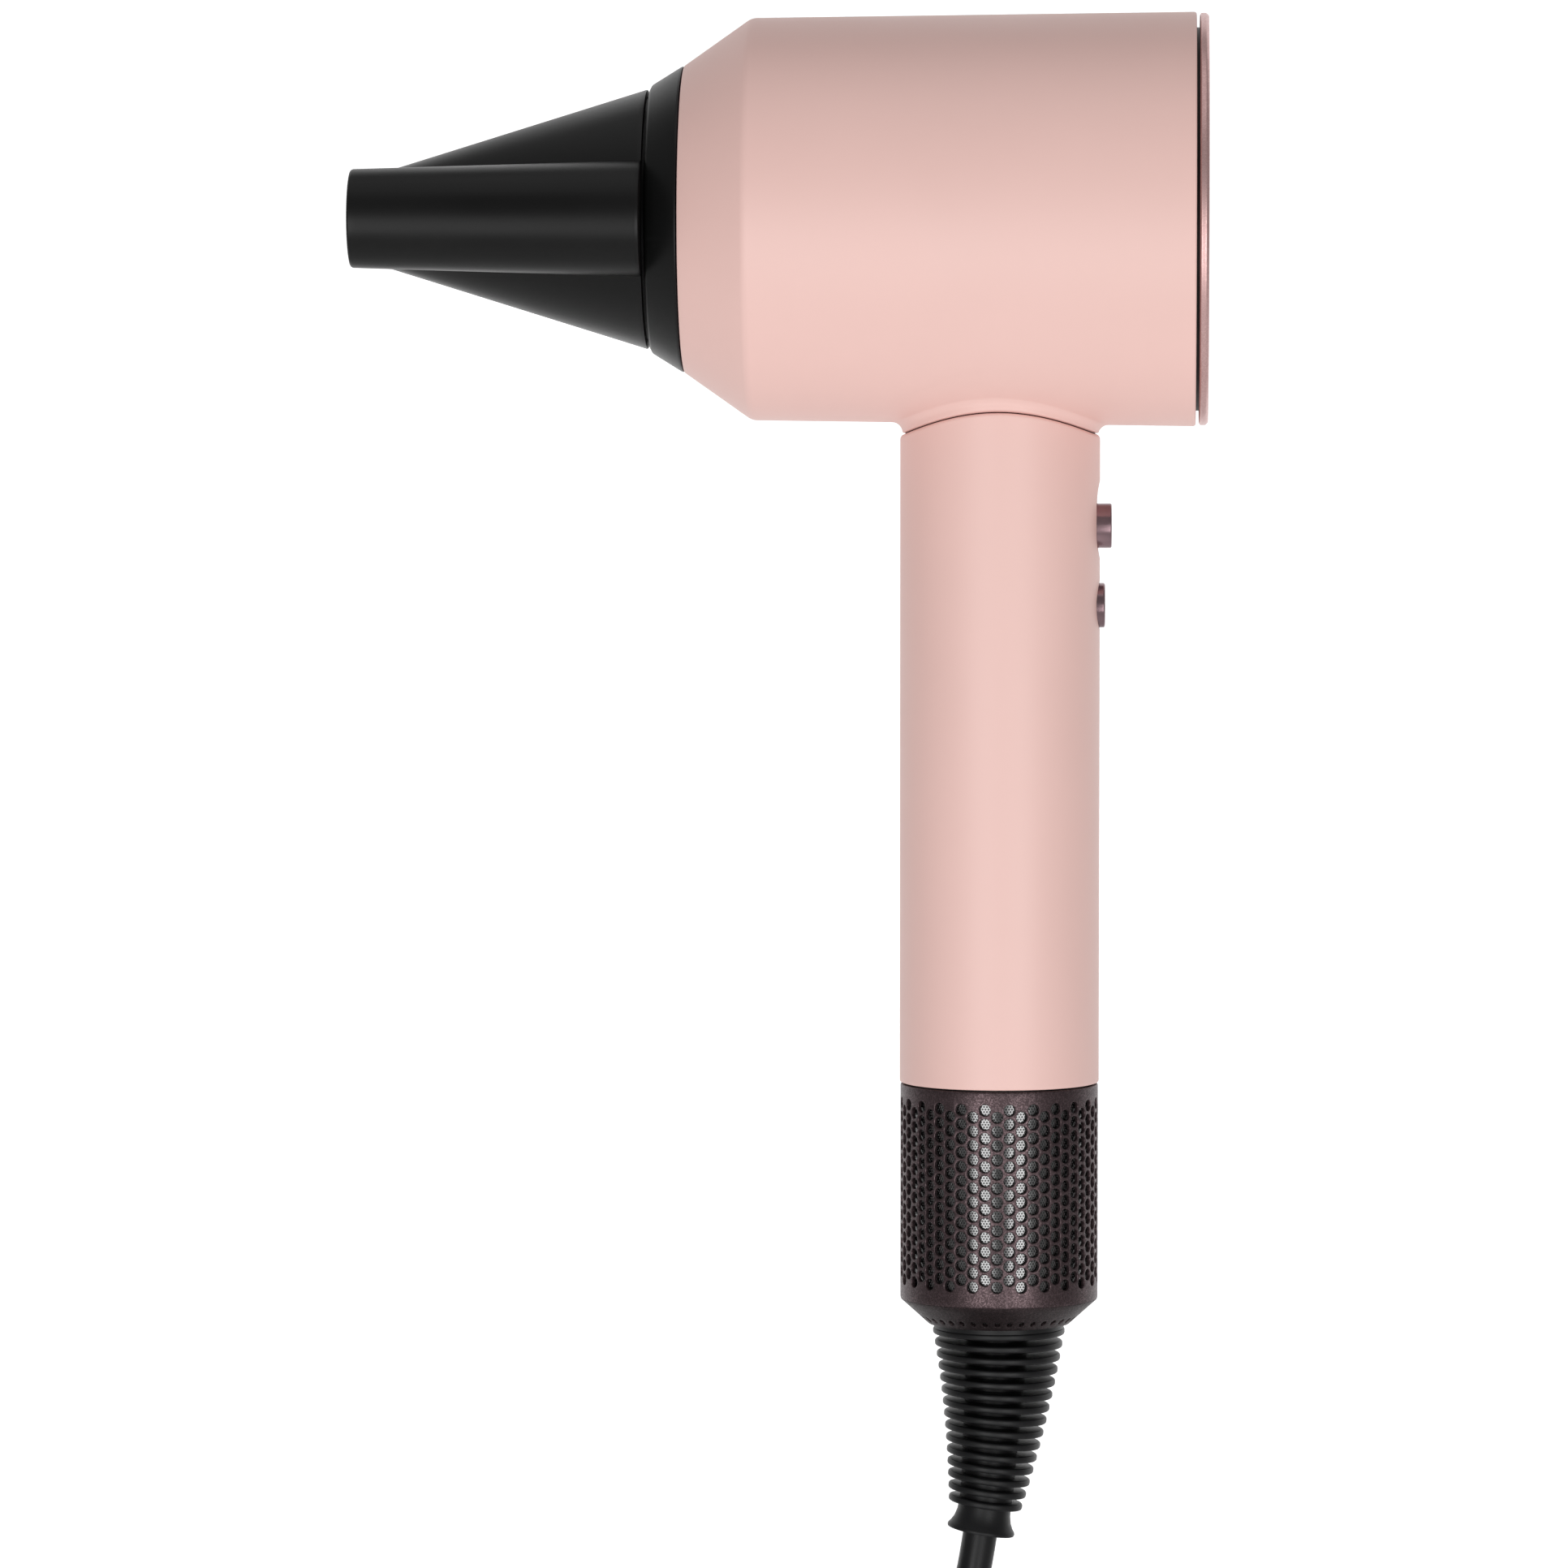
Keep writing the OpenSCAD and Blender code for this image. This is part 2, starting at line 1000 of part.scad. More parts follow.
// Steel ring that the head's magnets hold, free to turn in the nozzle.
module nozzle_magnet_ring() {
    color(steel)
        head_axis()
            tube(26.4, 25.5, -60.4, -59.3);
}

// Base ring of the nozzle: a groove for the steel ring, and a spigot for the hood.
module nozzle_base_ring() {
    color(black)
        turned([
            [-59.2, 24.8],
            [-59.2, 25.2],
            [-60.6, 25.2],
            [-60.6, 26.7],
            [-59.2, 26.7],
            [-59.2, 28.6],
            [-65.3, 24.7],
            [-65.3, 22.6],
            [-66.7, 22.6],
            [-66.7, 21.8],
            [-65.3, 21.8],
            [-61, 22.4],
            [-61, 24.8]
        ]);
}

// Outer form of the hood, drawn in by an inset: a cone and a flat duct run together.
module hood_form(inset, longer = 0) {
    head_axis()
        translate([0, 0, -tip_x])
            cylinder(
                h = tip_x - rim_x + longer,
                r1 = rim_r - (tip_x - rim_x) * cone_slope - inset,
                r2 = rim_r - inset
            );
    hull() {
        slab(tip_half_w - inset, tip_half_h - inset, -tip_x);
        slab(end_half_w - inset, end_half_h - inset, -rim_x - 0.1 - inset + longer);
    }
}

// Hood of the nozzle, with the outlet slot in its flat front.
module nozzle_hood() {
    color(black)
        difference() {
            hood_form(0);
            intersection() {
                hood_form(duct_wall);
                translate([-tip_x + 1.5, -40, -40])
                    cube([80, 80, 80]);
            }
            head_axis()
                translate([0, 0, -rim_x - 1])
                    cylinder(h = 2, r = 23);
            hull() {
                slab(tip_half_w - 4.1, 3.9, -tip_x - 0.5);
                slab(tip_half_w - 4.1, 3.9, -tip_x + 3);
            }
        }
}

// Form of the inner duct, drawn in by an inset: it keeps clear of the hood's inside.
module duct_form(inset) {
    longer = inset > 0 ? 0.2 : 0;
    intersection() {
        hull() {
            head_axis()
                translate([0, 0, -66.9])
                    cylinder(h = 0.1 + longer, r = 22 - inset, $fn = 72);
            slab(tip_half_w - 3.1 - inset, 4.9 - inset, -tip_x + 1.6 - longer);
        }
        hood_form(duct_wall + 0.2 + inset, 0.4);
    }
}

// Inner duct of the nozzle, from the round inlet to the slot.
module nozzle_duct() {
    color(dark)
        difference() {
            duct_form(0);
            duct_form(0.9);
        }
}

head_shell();
outlet_ring();
front_magnets();
inner_tube();
heater_frame();
heater_wire();
thermal_cutout();
thermistor();
ioniser();
bulkhead();
control_board();
board_parts();
tact_switches();
rear_cover();
rear_trim_ring();
airflow_button();
heat_button();
indicator_lenses();
handle_shell();
neck_duct();
power_slider();
slider_lever();
switch_carrier();
switch_board();
slide_switch();
cool_switch();
cool_shot_button();
cool_shot_spring();
foam_sleeve();
motor_mount();
motor_shroud();
diffuser();
motor_bearings();
motor_shaft();
rotor_magnet();
stator_core();
stator_windings();
impeller();
motor_board();
motor_leads();
head_leads();
mains_leads();
inlet_frame();
filter_mesh();
filter_cage();
filter_collar();
strain_relief();
cord_anchor();
anchor_screws();
cord_lead();
cord_coil();
cord_tail();
cord_tie();
plug_body();
plug_pins();
nozzle_magnet_ring();
nozzle_base_ring();
nozzle_hood();
nozzle_duct();
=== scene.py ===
import json
from math import acos, atan2, cos, hypot, pi, radians, sin, sqrt, tan, tau

import bmesh
import bpy
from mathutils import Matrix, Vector
from mathutils.geometry import delaunay_2d_cdt


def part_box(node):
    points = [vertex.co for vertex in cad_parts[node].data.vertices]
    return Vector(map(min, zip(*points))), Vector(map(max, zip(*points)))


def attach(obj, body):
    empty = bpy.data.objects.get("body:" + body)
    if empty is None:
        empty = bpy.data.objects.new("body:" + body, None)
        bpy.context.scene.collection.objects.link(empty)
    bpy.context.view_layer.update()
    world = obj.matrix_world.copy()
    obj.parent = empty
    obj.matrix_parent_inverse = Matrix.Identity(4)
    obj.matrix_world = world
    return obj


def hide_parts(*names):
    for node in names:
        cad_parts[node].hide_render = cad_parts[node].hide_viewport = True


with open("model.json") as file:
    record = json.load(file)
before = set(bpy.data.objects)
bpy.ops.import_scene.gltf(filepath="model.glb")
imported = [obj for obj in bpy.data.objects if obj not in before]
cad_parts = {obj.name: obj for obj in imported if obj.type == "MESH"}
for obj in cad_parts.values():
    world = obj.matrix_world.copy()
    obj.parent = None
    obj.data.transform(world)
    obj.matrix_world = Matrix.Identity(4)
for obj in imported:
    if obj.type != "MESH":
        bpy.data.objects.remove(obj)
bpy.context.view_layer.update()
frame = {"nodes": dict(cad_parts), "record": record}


# ---------- sizes, in millimetres ----------

def low(node):
    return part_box(node)[0] * 1000


def high(node):
    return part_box(node)[1] * 1000


FRONT_X = low("head_shell").x
REAR_X = high("head_shell").x
HEAD_R = high("head_shell").z
SHOULDER_X, SHOULDER_R, FRONT_R = -46.4, 37.55, 28.7
GRIP_R = high("handle_shell").x
GRIP_BOTTOM = low("handle_shell").z
COLLAR_R, FILLET, LIP_R, LIP_ROUND = 18.3, 2.0, 39.86, 0.3
NECK_CUT, NECK_EDGE, LIP_MARGIN = 25.8, 27.0, 0.03
TOP_R, TOP_ROUND = 40.14, 0.9
CONTROL_TOP, CONTROL_BOTTOM, CONTROL_COLUMNS, GRIP_COLUMNS = -44, -84, 16, 192
MARK_X, MARK_Z, MARK_R = 13.8, -160.2, 0.72
SLOT_Z, SLOT_R, SLOT_REACH = -56.1, 4.45, 2.6
BUTTON_Z, BUTTON_R = -72.1, 4.35
KNOB_Z = (low("slider_lever").z + high("slider_lever").z) / 2
CAGE_R = high("filter_cage").x
CAGE_TOP, CAGE_BOTTOM = high("filter_cage").z, low("filter_cage").z
COLUMNS, ROWS, HOLE_R, PITCH, FIRST_ROW, CAGE_WALL = 50, 13, 1.075, 2.65, -165.4, 0.7
COLLAR_BOTTOM, COLLAR_END_R = low("filter_collar").z, 13.2
VENTS, VENT_WIDE, VENT_HIGH, VENT_R = 40, 0.48, 0.72, 14.7
RELIEF_TOP, RELIEF_BEND, RELIEF_END = -208, 225, 39.0
RINGS, RING_STEP, RING_HALF, RING_R, RING_TAPER = 15, 2.33, 0.62, 12.4, 5.4
TIP_X, RIM_X, RIM_R, SLOPE = low("nozzle_hood").x, -65.9, 24.3, 0.311
TIP_W, TIP_H, END_W, END_H = high("nozzle_hood").y, 9.1, 31.5, 10.7
HOOD_WALL, HOOD_BORE, HOOD_LEDGE, TIP_ROUND, MOUTH_ROUND = 1.3, 22.9, 1.4, 0.6, 0.4
CORD_R = 3.25
COIL_X, COIL_Z, COIL_R = -27, -320, 37.5
COIL_START, COIL_END, SHIFT_AT, SHIFT_OVER = 45, 90 + 360 * 11, 200, 60
PLUG = (17, 9.75, -354)
STRAIGHT = 1.56  # half of a corner's angle, from which it counts as straight
WELD = 2e-6  # metres


# ---------- meshes ----------

def turns(count, start=0.0):
    """Angles evenly spaced all the way round."""
    return [start + tau * k / count for k in range(count)]


class Shape:
    """Points in millimetres, and the faces between them."""

    def __init__(self):
        self.points, self.faces = [], []

    def loft(self, rings, around=True, along=False, keep=None):
        """Faces between rings of points. around joins a ring's ends, along joins the last ring to the
        first, and keep says which faces stay."""
        start, n = len(self.points), len(rings[0])
        for ring in rings:
            self.points.extend(tuple(p) for p in ring)
        for i in range(len(rings) if along else len(rings) - 1):
            a, b = start + i * n, start + (i + 1) % len(rings) * n
            for k in range(n if around else n - 1):
                m = (k + 1) % n
                face = (a + k, a + m, b + m, b + k)
                if keep is None or keep([self.points[v] for v in face]):
                    self.faces.append(face)

    def cap(self, ring):
        start = len(self.points)
        self.points.extend(tuple(p) for p in ring)
        self.faces.append(tuple(range(start, start + len(ring))))

    def lathe_x(self, outline, count=192, centre=(0, 0), keep=None):
        """Turns an outline of (x, r) about an axis along X."""
        cy, cz = centre
        self.loft(
            [
                [(x, cy + r * cos(a), cz + r * sin(a)) for x, r in outline]
                for a in turns(count)
            ],
            along=True,
            keep=keep,
        )

    def lathe_z(self, outline, count=192, centre=(0, 0)):
        """Turns an outline of (z, r) about an axis along Z."""
        cx, cy = centre
        self.loft(
            [
                [(cx + r * cos(a), cy + r * sin(a), z) for z, r in outline]
                for a in turns(count)
            ],
            along=True,
        )


def soften(corners, steps=5):
    """A closed outline with rounded corners, from corners of (a, b, radius)."""
    outline = []
    for i, (a, b, radius) in enumerate(corners):
        here = Vector((a, b))
        before = Vector(corners[i - 1][:2]) - here
        after = Vector(corners[(i + 1) % len(corners)][:2]) - here
        half = before.angle(after) / 2
        if radius <= 0 or half > STRAIGHT:
            outline.append((a, b))
            continue
        reach = min(radius / tan(half), 0.49 * min(before.length, after.length))
        radius = reach * tan(half)
        before.normalize()
        after.normalize()
        centre = here + (before + after).normalized() * (radius / sin(half))
        first, last = here + before * reach - centre, here + after * reach - centre
        turn = pi - 2 * half
        for k in range(steps + 1):
            t = k / steps
            spoke = (first * sin((1 - t) * turn) + last * sin(t * turn)) / sin(turn)
            outline.append(tuple(centre + spoke))
    return outline


def divided(outline, longest):
    """The same closed outline, with its long stretches divided into parts about as long as longest."""
    made = []
    for i, (a, b) in enumerate(outline):
        c, d = outline[(i + 1) % len(outline)]
        parts = max(1, round(hypot(c - a, d - b) / longest))
        made += [(a + (c - a) * k / parts, b + (d - b) * k / parts) for k in range(parts)]
    return made


def arc_steps(first, last, count):
    """Evenly spaced values from first to last, with both."""
    return [first + (last - first) * k / count for k in range(count + 1)]


def made_of(name, shape, sharp=38, weld=False, normal_at=None):
    """An object from a shape. normal_at gives the exact normal at a point where the surface is smooth."""
    mesh = bpy.data.meshes.new(name)
    mesh.from_pydata([[c / 1000 for c in p] for p in shape.points], [], shape.faces)
    bm = bmesh.new()
    bm.from_mesh(mesh)
    if weld:
        bmesh.ops.remove_doubles(bm, verts=bm.verts, dist=WELD)
    bmesh.ops.recalc_face_normals(bm, faces=bm.faces)
    bm.to_mesh(mesh)
    bm.free()
    mesh.shade_smooth()
    mesh.set_sharp_from_angle(angle=radians(sharp))
    if normal_at:
        exact = [normal_at(v.co * 1000) or (0, 0, 0) for v in mesh.vertices]
        mesh.normals_split_custom_set_from_vertices(exact)
    piece = bpy.data.objects.new(name, mesh)
    bpy.context.scene.collection.objects.link(piece)
    return piece


def dress(piece, look, slot, body, *nodes):
    """Gives a piece its material and its body, and hides the CAD nodes it stands for."""
    piece.data.materials.append(look)
    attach(piece, body)
    if nodes:
        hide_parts(*nodes)
    return piece


# ---------- materials ----------

class Look:
    """A node material, with short calls for its parts."""

    def __init__(self, name, metallic=0.0, **sockets):
        self.material = bpy.data.materials.new(name)
        self.material.use_nodes = True
        self.tree = self.material.node_tree
        self.shader = self.tree.nodes["Principled BSDF"]
        self.put(self.shader, Metallic=metallic, **sockets)
        self.place = self.add("TexCoord").outputs["Object"]

    def feed(self, socket, value):
        """Links another node's output to a socket, or sets a constant on it."""
        if isinstance(value, bpy.types.NodeSocket):
            self.tree.links.new(value, socket)
        else:
            socket.default_value = value

    def put(self, node, **values):
        for name, value in values.items():
            self.feed(node.inputs[name.replace("_", " ")], value)

    def add(self, kind, **values):
        node = self.tree.nodes.new("ShaderNode" + kind)
        self.put(node, **values)
        return node

    def noise(self, scale, detail=2.0, stretch=None):
        place = self.place
        if stretch:
            place = self.add("Mapping", Vector=place, Scale=stretch).outputs[0]
        return self.add("TexNoise", Vector=place, Scale=scale, Detail=detail).outputs["Fac"]

    def math(self, kind, a, b=0.0):
        node = self.tree.nodes.new("ShaderNodeMath")
        node.operation = kind
        self.feed(node.inputs[0], a)
        self.feed(node.inputs[1], b)
        return node.outputs[0]

    def ranged(self, value, low_in, high_in, low_out, high_out):
        node = self.add("MapRange", Value=value)
        for socket, number in zip(node.inputs[1:5], (low_in, high_in, low_out, high_out)):
            socket.default_value = number
        return node.outputs[0]

    def mixed(self, factor, first, second):
        node = self.tree.nodes.new("ShaderNodeMix")
        node.data_type = "RGBA"
        self.feed(node.inputs[0], factor)
        self.feed(node.inputs[6], first)
        self.feed(node.inputs[7], second)
        return node.outputs[2]

    def bump(self, height, strength, distance):
        return self.add("Bump", Height=height, Strength=strength, Distance=distance).outputs["Normal"]


def rgb(red, green, blue):
    """A colour from its values on screen, 0 to 255."""
    def straight(value):
        value /= 255
        return value / 12.92 if value <= 0.04045 else ((value + 0.055) / 1.055) ** 2.4

    return (straight(red), straight(green), straight(blue), 1.0)


def scaled(colour, by):
    return tuple(min(1.0, c * by) for c in colour[:3]) + (1.0,)


def moulded(name, colour, gloss, metallic=0.0, patch=45, vary=0.05, grain=2600, relief=0.3,
            spread=0.06, edges=0.0, **sockets):
    """Soft patches of colour, a fine grain in relief and gloss, and paler sharp edges, partly rubbed wear and
    partly a painted highlight.
    """
    look = Look(name, metallic, **sockets)
    clouds = look.ranged(look.noise(patch, 4), 0.3, 0.7, 0, 1)
    fine = look.noise(grain, 3)
    shade = look.mixed(clouds, scaled(colour, 1 - vary), scaled(colour, 1 + vary))
    if edges:
        # Paler sharp edges: partly rubbed wear, partly a painted highlight along the edges.
        point = look.add("NewGeometry").outputs["Pointiness"]
        wear_and_edge_highlight = look.ranged(point, 0.53, 0.6, 0, edges)
        shade = look.mixed(wear_and_edge_highlight, shade, scaled(colour, 1.9))
    look.put(look.shader, Base_Color=shade)
    both = look.math("ADD", look.math("MULTIPLY", clouds, 0.5), look.math("MULTIPLY", fine, 0.5))
    look.put(look.shader, Roughness=look.ranged(both, 0.25, 0.75, gloss - spread, gloss + spread))
    look.put(look.shader, Normal=look.bump(fine, relief, 0.00005))
    return look.material


def shell_pink():
    """Soft-touch paint: a fine even orange peel, with slight clouds."""
    return moulded("shell_pink", rgb(240, 200, 192), 0.5, patch=28, vary=0.012, grain=3200,
                   relief=0.12, spread=0.05, Coat_Weight=0.06, Coat_Roughness=0.35)


def flaked(name, dull, bright, gloss, size):
    """Metallic paint: bright flakes in a darker ground, and paler sharp edges, partly rubbed wear and partly
    a painted highlight.
    """
    look = Look(name, 0.82)
    flakes = look.add("TexVoronoi", Vector=look.place, Scale=size)
    split = look.add("SeparateColor", Color=flakes.outputs["Color"])
    spark = look.ranged(split.outputs[0], 0.35, 1, 0, 1)
    clouds = look.ranged(look.noise(60, 4), 0.3, 0.7, -0.12, 0.12)
    # Paler sharp edges: partly rubbed wear, partly a painted highlight along the edges.
    point = look.add("NewGeometry").outputs["Pointiness"]
    wear_and_edge_highlight = look.ranged(point, 0.52, 0.6, 0, 0.35)
    mix = look.math("ADD", look.math("ADD", look.math("MULTIPLY", spark, 0.55), clouds), wear_and_edge_highlight)
    look.put(look.shader, Base_Color=look.mixed(mix, dull, bright))
    look.put(look.shader, Roughness=look.ranged(spark, 0, 1, gloss + 0.06, gloss - 0.06))
    look.put(look.shader, Normal=look.bump(look.noise(size * 0.8, 2), 0.25, 0.00004))
    return look.material


def plum_metal():
    return flaked("plum_metal", rgb(64, 52, 54), rgb(118, 100, 103), 0.4, 5200)


# A darker copy of plum_metal for the collar: painted shade for the downward-facing cone, which sits out of
# the light.
def plum_painted_shade():
    return flaked("plum_painted_shade", rgb(42, 34, 35), rgb(84, 71, 73), 0.45, 5200)


def plum_gloss():
    return moulded("plum_gloss", rgb(134, 110, 115), 0.22, metallic=0.8, patch=120, vary=0.08, grain=5200,
                   relief=0.06, spread=0.04, edges=0.5)


def rose_metal():
    return flaked("rose_metal", rgb(204, 165, 162), rgb(234, 200, 197), 0.34, 6500)


def nozzle_black():
    return moulded("nozzle_black", rgb(15, 15, 15), 0.36, patch=30, vary=0.1, grain=4200,
                   relief=0.1, edges=0.6, Specular_IOR_Level=0.22)


def black_plastic():
    return moulded("black_plastic", rgb(33, 32, 33), 0.46, vary=0.08, grain=2400, relief=0.35, edges=0.2)


def dark_plastic():
    return moulded("dark_plastic", rgb(58, 56, 58), 0.5, vary=0.08, grain=2000, relief=0.4, edges=0.2)


def brushed(name, colour, gloss, stretch=(60, 900, 60)):
    look = Look(name, 1.0)
    lines = look.noise(1.0, 3, [s * 4 for s in stretch])
    look.put(look.shader, Base_Color=look.mixed(lines, scaled(colour, 0.86), scaled(colour, 1.08)))
    look.put(look.shader, Roughness=look.ranged(lines, 0.3, 0.7, gloss - 0.08, gloss + 0.1))
    look.put(look.shader, Normal=look.bump(lines, 0.2, 0.00004))
    return look.material


def steel():
    return brushed("steel", (0.62, 0.62, 0.63, 1), 0.3)


def aluminium():
    return brushed("aluminium", (0.72, 0.73, 0.74, 1), 0.34, (300, 300, 300))


def copper():
    return brushed("copper", (0.75, 0.38, 0.2, 1), 0.3, (900, 900, 60))


def resistance_wire():
    return brushed("resistance_wire", (0.38, 0.35, 0.33, 1), 0.45, (400, 400, 400))


def plug_metal():
    return brushed("plug_metal", (0.78, 0.76, 0.72, 1), 0.22, (900, 900, 40))


def magnet():
    return moulded("magnet", rgb(92, 92, 96), 0.4, metallic=0.9, vary=0.1, grain=3000)


def mesh_steel():
    """Fine perforated sheet: rows of tiny dark holes, each row half a step from the next."""
    holes_round, step_across, step_up, offset = 200, 0.55, 0.95, 500
    look = Look("mesh_steel")
    split = look.add("SeparateXYZ", Vector=look.place).outputs
    across = look.math("MULTIPLY", look.math("ARCTAN2", split[1], split[0]), holes_round / tau)
    up = look.math("MULTIPLY", split[2], 1000 / step_up)
    distances = []
    for shift in (0.0, 0.5):
        squares = []
        for value, size in ((across, step_across), (up, step_up)):
            off = look.math("SUBTRACT", look.math("FRACT", look.math("ADD", value, offset + shift)), 0.5)
            off = look.math("MULTIPLY", off, size)
            squares.append(look.math("MULTIPLY", off, off))
        distances.append(look.math("SQRT", look.math("ADD", *squares)))
    sheet = look.ranged(look.math("MINIMUM", *distances), 0.13, 0.18, 0, 1)
    tone = look.mixed(look.noise(700, 2), (0.13, 0.13, 0.13, 1), (0.2, 0.2, 0.2, 1))
    look.put(look.shader, Base_Color=look.mixed(sheet, (0.006, 0.006, 0.006, 1), tone), Metallic=sheet,
             Roughness=look.ranged(look.noise(900, 2), 0.3, 0.7, 0.13, 0.22),
             Normal=look.bump(sheet, 0.6, 0.0001))
    return look.material


def mica():
    return moulded("mica", rgb(196, 184, 150), 0.45, vary=0.12, grain=1500)


def circuit_board():
    return moulded("circuit_board", rgb(28, 84, 52), 0.4, vary=0.1, grain=1200)


def foam():
    return moulded("foam", rgb(62, 62, 64), 0.95, vary=0.12, grain=900, relief=1.0)


def rubber(name, colour, gloss):
    return moulded(name, colour, gloss, patch=70, vary=0.1, grain=3600, relief=0.3, edges=0.4,
                   Specular_IOR_Level=0.25)


def mount_rubber():
    return rubber("mount_rubber", rgb(42, 42, 42), 0.6)


def lead_rubber():
    return rubber("lead_rubber", rgb(48, 48, 50), 0.45)


def cord_rubber():
    return rubber("cord_rubber", rgb(17, 17, 18), 0.4)


def plug_plastic():
    return moulded("plug_plastic", rgb(36, 36, 38), 0.42, vary=0.08, grain=1700, relief=0.5, edges=0.25)


def tie_fabric():
    """Hook-and-loop strap: a plain weave with a soft nap."""
    look = Look("tie_fabric", Sheen_Weight=0.4, Sheen_Roughness=0.5)
    turned = look.add("Mapping", Vector=look.place, Rotation=(0, radians(90), 0)).outputs[0]
    weave, other = (
        look.add("TexWave", Vector=place, Scale=650, Distortion=0.6, Detail=1).outputs["Fac"]
        for place in (look.place, turned))
    cloth = look.math("MULTIPLY", weave, other)
    look.put(look.shader, Base_Color=look.mixed(cloth, rgb(30, 30, 32), rgb(62, 62, 66)),
             Roughness=look.ranged(look.noise(1400), 0.3, 0.7, 0.75, 0.95),
             Normal=look.bump(cloth, 0.8, 0.0002))
    return look.material


def lens():
    return moulded("lens", rgb(226, 228, 230), 0.18, vary=0.02, grain=1500, relief=0.1, spread=0.04)


def seam_shadow():
    return moulded("seam_shadow", rgb(74, 44, 42), 0.7, vary=0.1)


# ---------- camera, light and floor ----------

def add_camera():
    data = bpy.data.cameras.new("camera")
    data.lens, data.sensor_width, data.clip_start = 190.0, 36, 0.05
    camera = bpy.data.objects.new("camera", data)
    camera.location = (0.03, -1.55, -0.012)
    aim = Vector((-0.0405, 0, -0.1058)) - camera.location
    camera.rotation_euler = aim.to_track_quat("-Z", "Y").to_euler()
    bpy.context.scene.collection.objects.link(camera)
    bpy.context.scene.camera = camera


def add_softbox(name, place, target, width, height, radiance):
    data = bpy.data.lights.new(name, "AREA")
    data.shape, data.size, data.size_y = "RECTANGLE", width, height
    data.energy = radiance * pi * width * height
    light = bpy.data.objects.new(name, data)
    light.location = place
    light.rotation_euler = (Vector(target) - Vector(place)).to_track_quat("-Z", "Y").to_euler()
    bpy.context.scene.collection.objects.link(light)


def add_studio():
    """Soft light from low in front of the dryer, with a weaker light above."""
    scene = bpy.context.scene
    scene.view_settings.view_transform = "Standard"
    world = bpy.data.worlds.new("studio")
    world.use_nodes = True
    tree, background = world.node_tree, world.node_tree.nodes["Background"]
    background.inputs["Color"].default_value = (1, 1, 1, 1)
    white = tree.nodes.new("ShaderNodeMapRange")
    white.inputs["To Min"].default_value, white.inputs["To Max"].default_value = 0.25, 0.95
    tree.links.new(tree.nodes.new("ShaderNodeLightPath").outputs["Is Camera Ray"], white.inputs["Value"])
    tree.links.new(white.outputs[0], background.inputs["Strength"])
    scene.world = world
    target = (-0.02, 0, -0.08)
    for side, x in (("left", -0.36), ("right", 0.5)):
        add_softbox(side + "_softbox", (x, -1.08, -0.31), target, 0.5, 0.72, 4.15)
    add_softbox("top_softbox", (-0.1, -0.25, 1.1), target, 1.4, 1.0, 0.55)


def add_floor():
    """A pale floor well below the hanging dryer, and a white backdrop that rises from it."""
    paint = (0.85, 0.85, 0.85, 1)
    for name, section, glow in (
        ("floor", [(-6, -1.3), (2, -1.3)], 0.16),
        ("backdrop", [(2 + sin(a), -0.3 - cos(a)) for a in arc_steps(0, pi / 2, 12)] + [(3, 4.0)], 0.75),
    ):
        shape = Shape()
        shape.loft([[(x * 1000, y * 1000, z * 1000) for y, z in section] for x in (-7, 7)], around=False)
        look = moulded(name + "_paint", paint, 0.9, patch=2, vary=0.01, grain=300, relief=0.05)
        shader = look.node_tree.nodes["Principled BSDF"]
        shader.inputs["Emission Color"].default_value = (1, 1, 1, 1)
        shader.inputs["Emission Strength"].default_value = glow
        piece = made_of(name, shape)
        piece.data.materials.append(look)


# ---------- cord ----------

CORD_ROUTE = [
    (-3.4, 0, -246.8), (-3.9, 0, -250), (-4.6, 0, -254), (-5.5, 0, -258), (-6, -0.6, -262.9),
    (-5.8, -2.1, -267.7), (-5, -4.3, -272.5), (-3.5, -6.3, -277.2), (-1.3, -8.2, -281.5),
    (1.4, -9.3, -285.6), (4.2, -9.75, -288.8),
]
INSIDE_RELIEF = (31, 34, 37)


def along_relief(s):
    """The middle of the strain relief, s along its bend, and the direction away from the bend's centre."""
    a = s / RELIEF_BEND
    middle = Vector((RELIEF_BEND * (cos(a) - 1), 0, RELIEF_TOP - RELIEF_BEND * sin(a)))
    return middle, Vector((cos(a), 0, -sin(a)))


def eased(points, steps):
    """A smooth line through points."""
    made = []
    for i in range(len(points) - 1):
        p = [Vector(points[max(0, min(len(points) - 1, j))]) for j in (i - 1, i, i + 1, i + 2)]
        for k in range(steps):
            t = k / steps
            second = (2 * p[0] - 5 * p[1] + 4 * p[2] - p[3]) * t * t
            third = (3 * p[1] - p[0] - 3 * p[2] + p[3]) * t ** 3
            made.append(0.5 * (2 * p[1] + (p[2] - p[0]) * t + second + third))
    return made + [Vector(points[-1])]


def coil_places():
    """Where the coil's turns lie, in winding order: their place across the coil and their radius."""
    layers = [COIL_R + 2 * CORD_R * k for k in (1, 0, -1)]
    return [
        (2 * CORD_R * (column - 1.5), radius)
        for column in range(4)
        for radius in (layers if column % 2 == 0 else layers[::-1])
    ]


def cord_line():
    """The cord's middle, from inside the relief, round the coil and down into the plug."""
    places = coil_places()
    line = [along_relief(s)[0] for s in INSIDE_RELIEF]
    line += eased(CORD_ROUTE, 5)[:-1]
    for degree in range(COIL_START, COIL_END + 1, 5):
        turn, past = divmod(degree - SHIFT_AT, 360)
        t = min(1.0, past / SHIFT_OVER)
        t = t * t * (3 - 2 * t)
        here = Vector(places[max(0, turn)])
        after = Vector(places[min(turn + 1, len(places) - 1)])
        y, radius = here.lerp(after, t)
        a = radians(degree)
        line.append(Vector((COIL_X + radius * sin(a), y, COIL_Z + radius * cos(a))))
    line += [Vector((PLUG[0], PLUG[1], z)) for z in range(-325, -357, -5)]
    return line


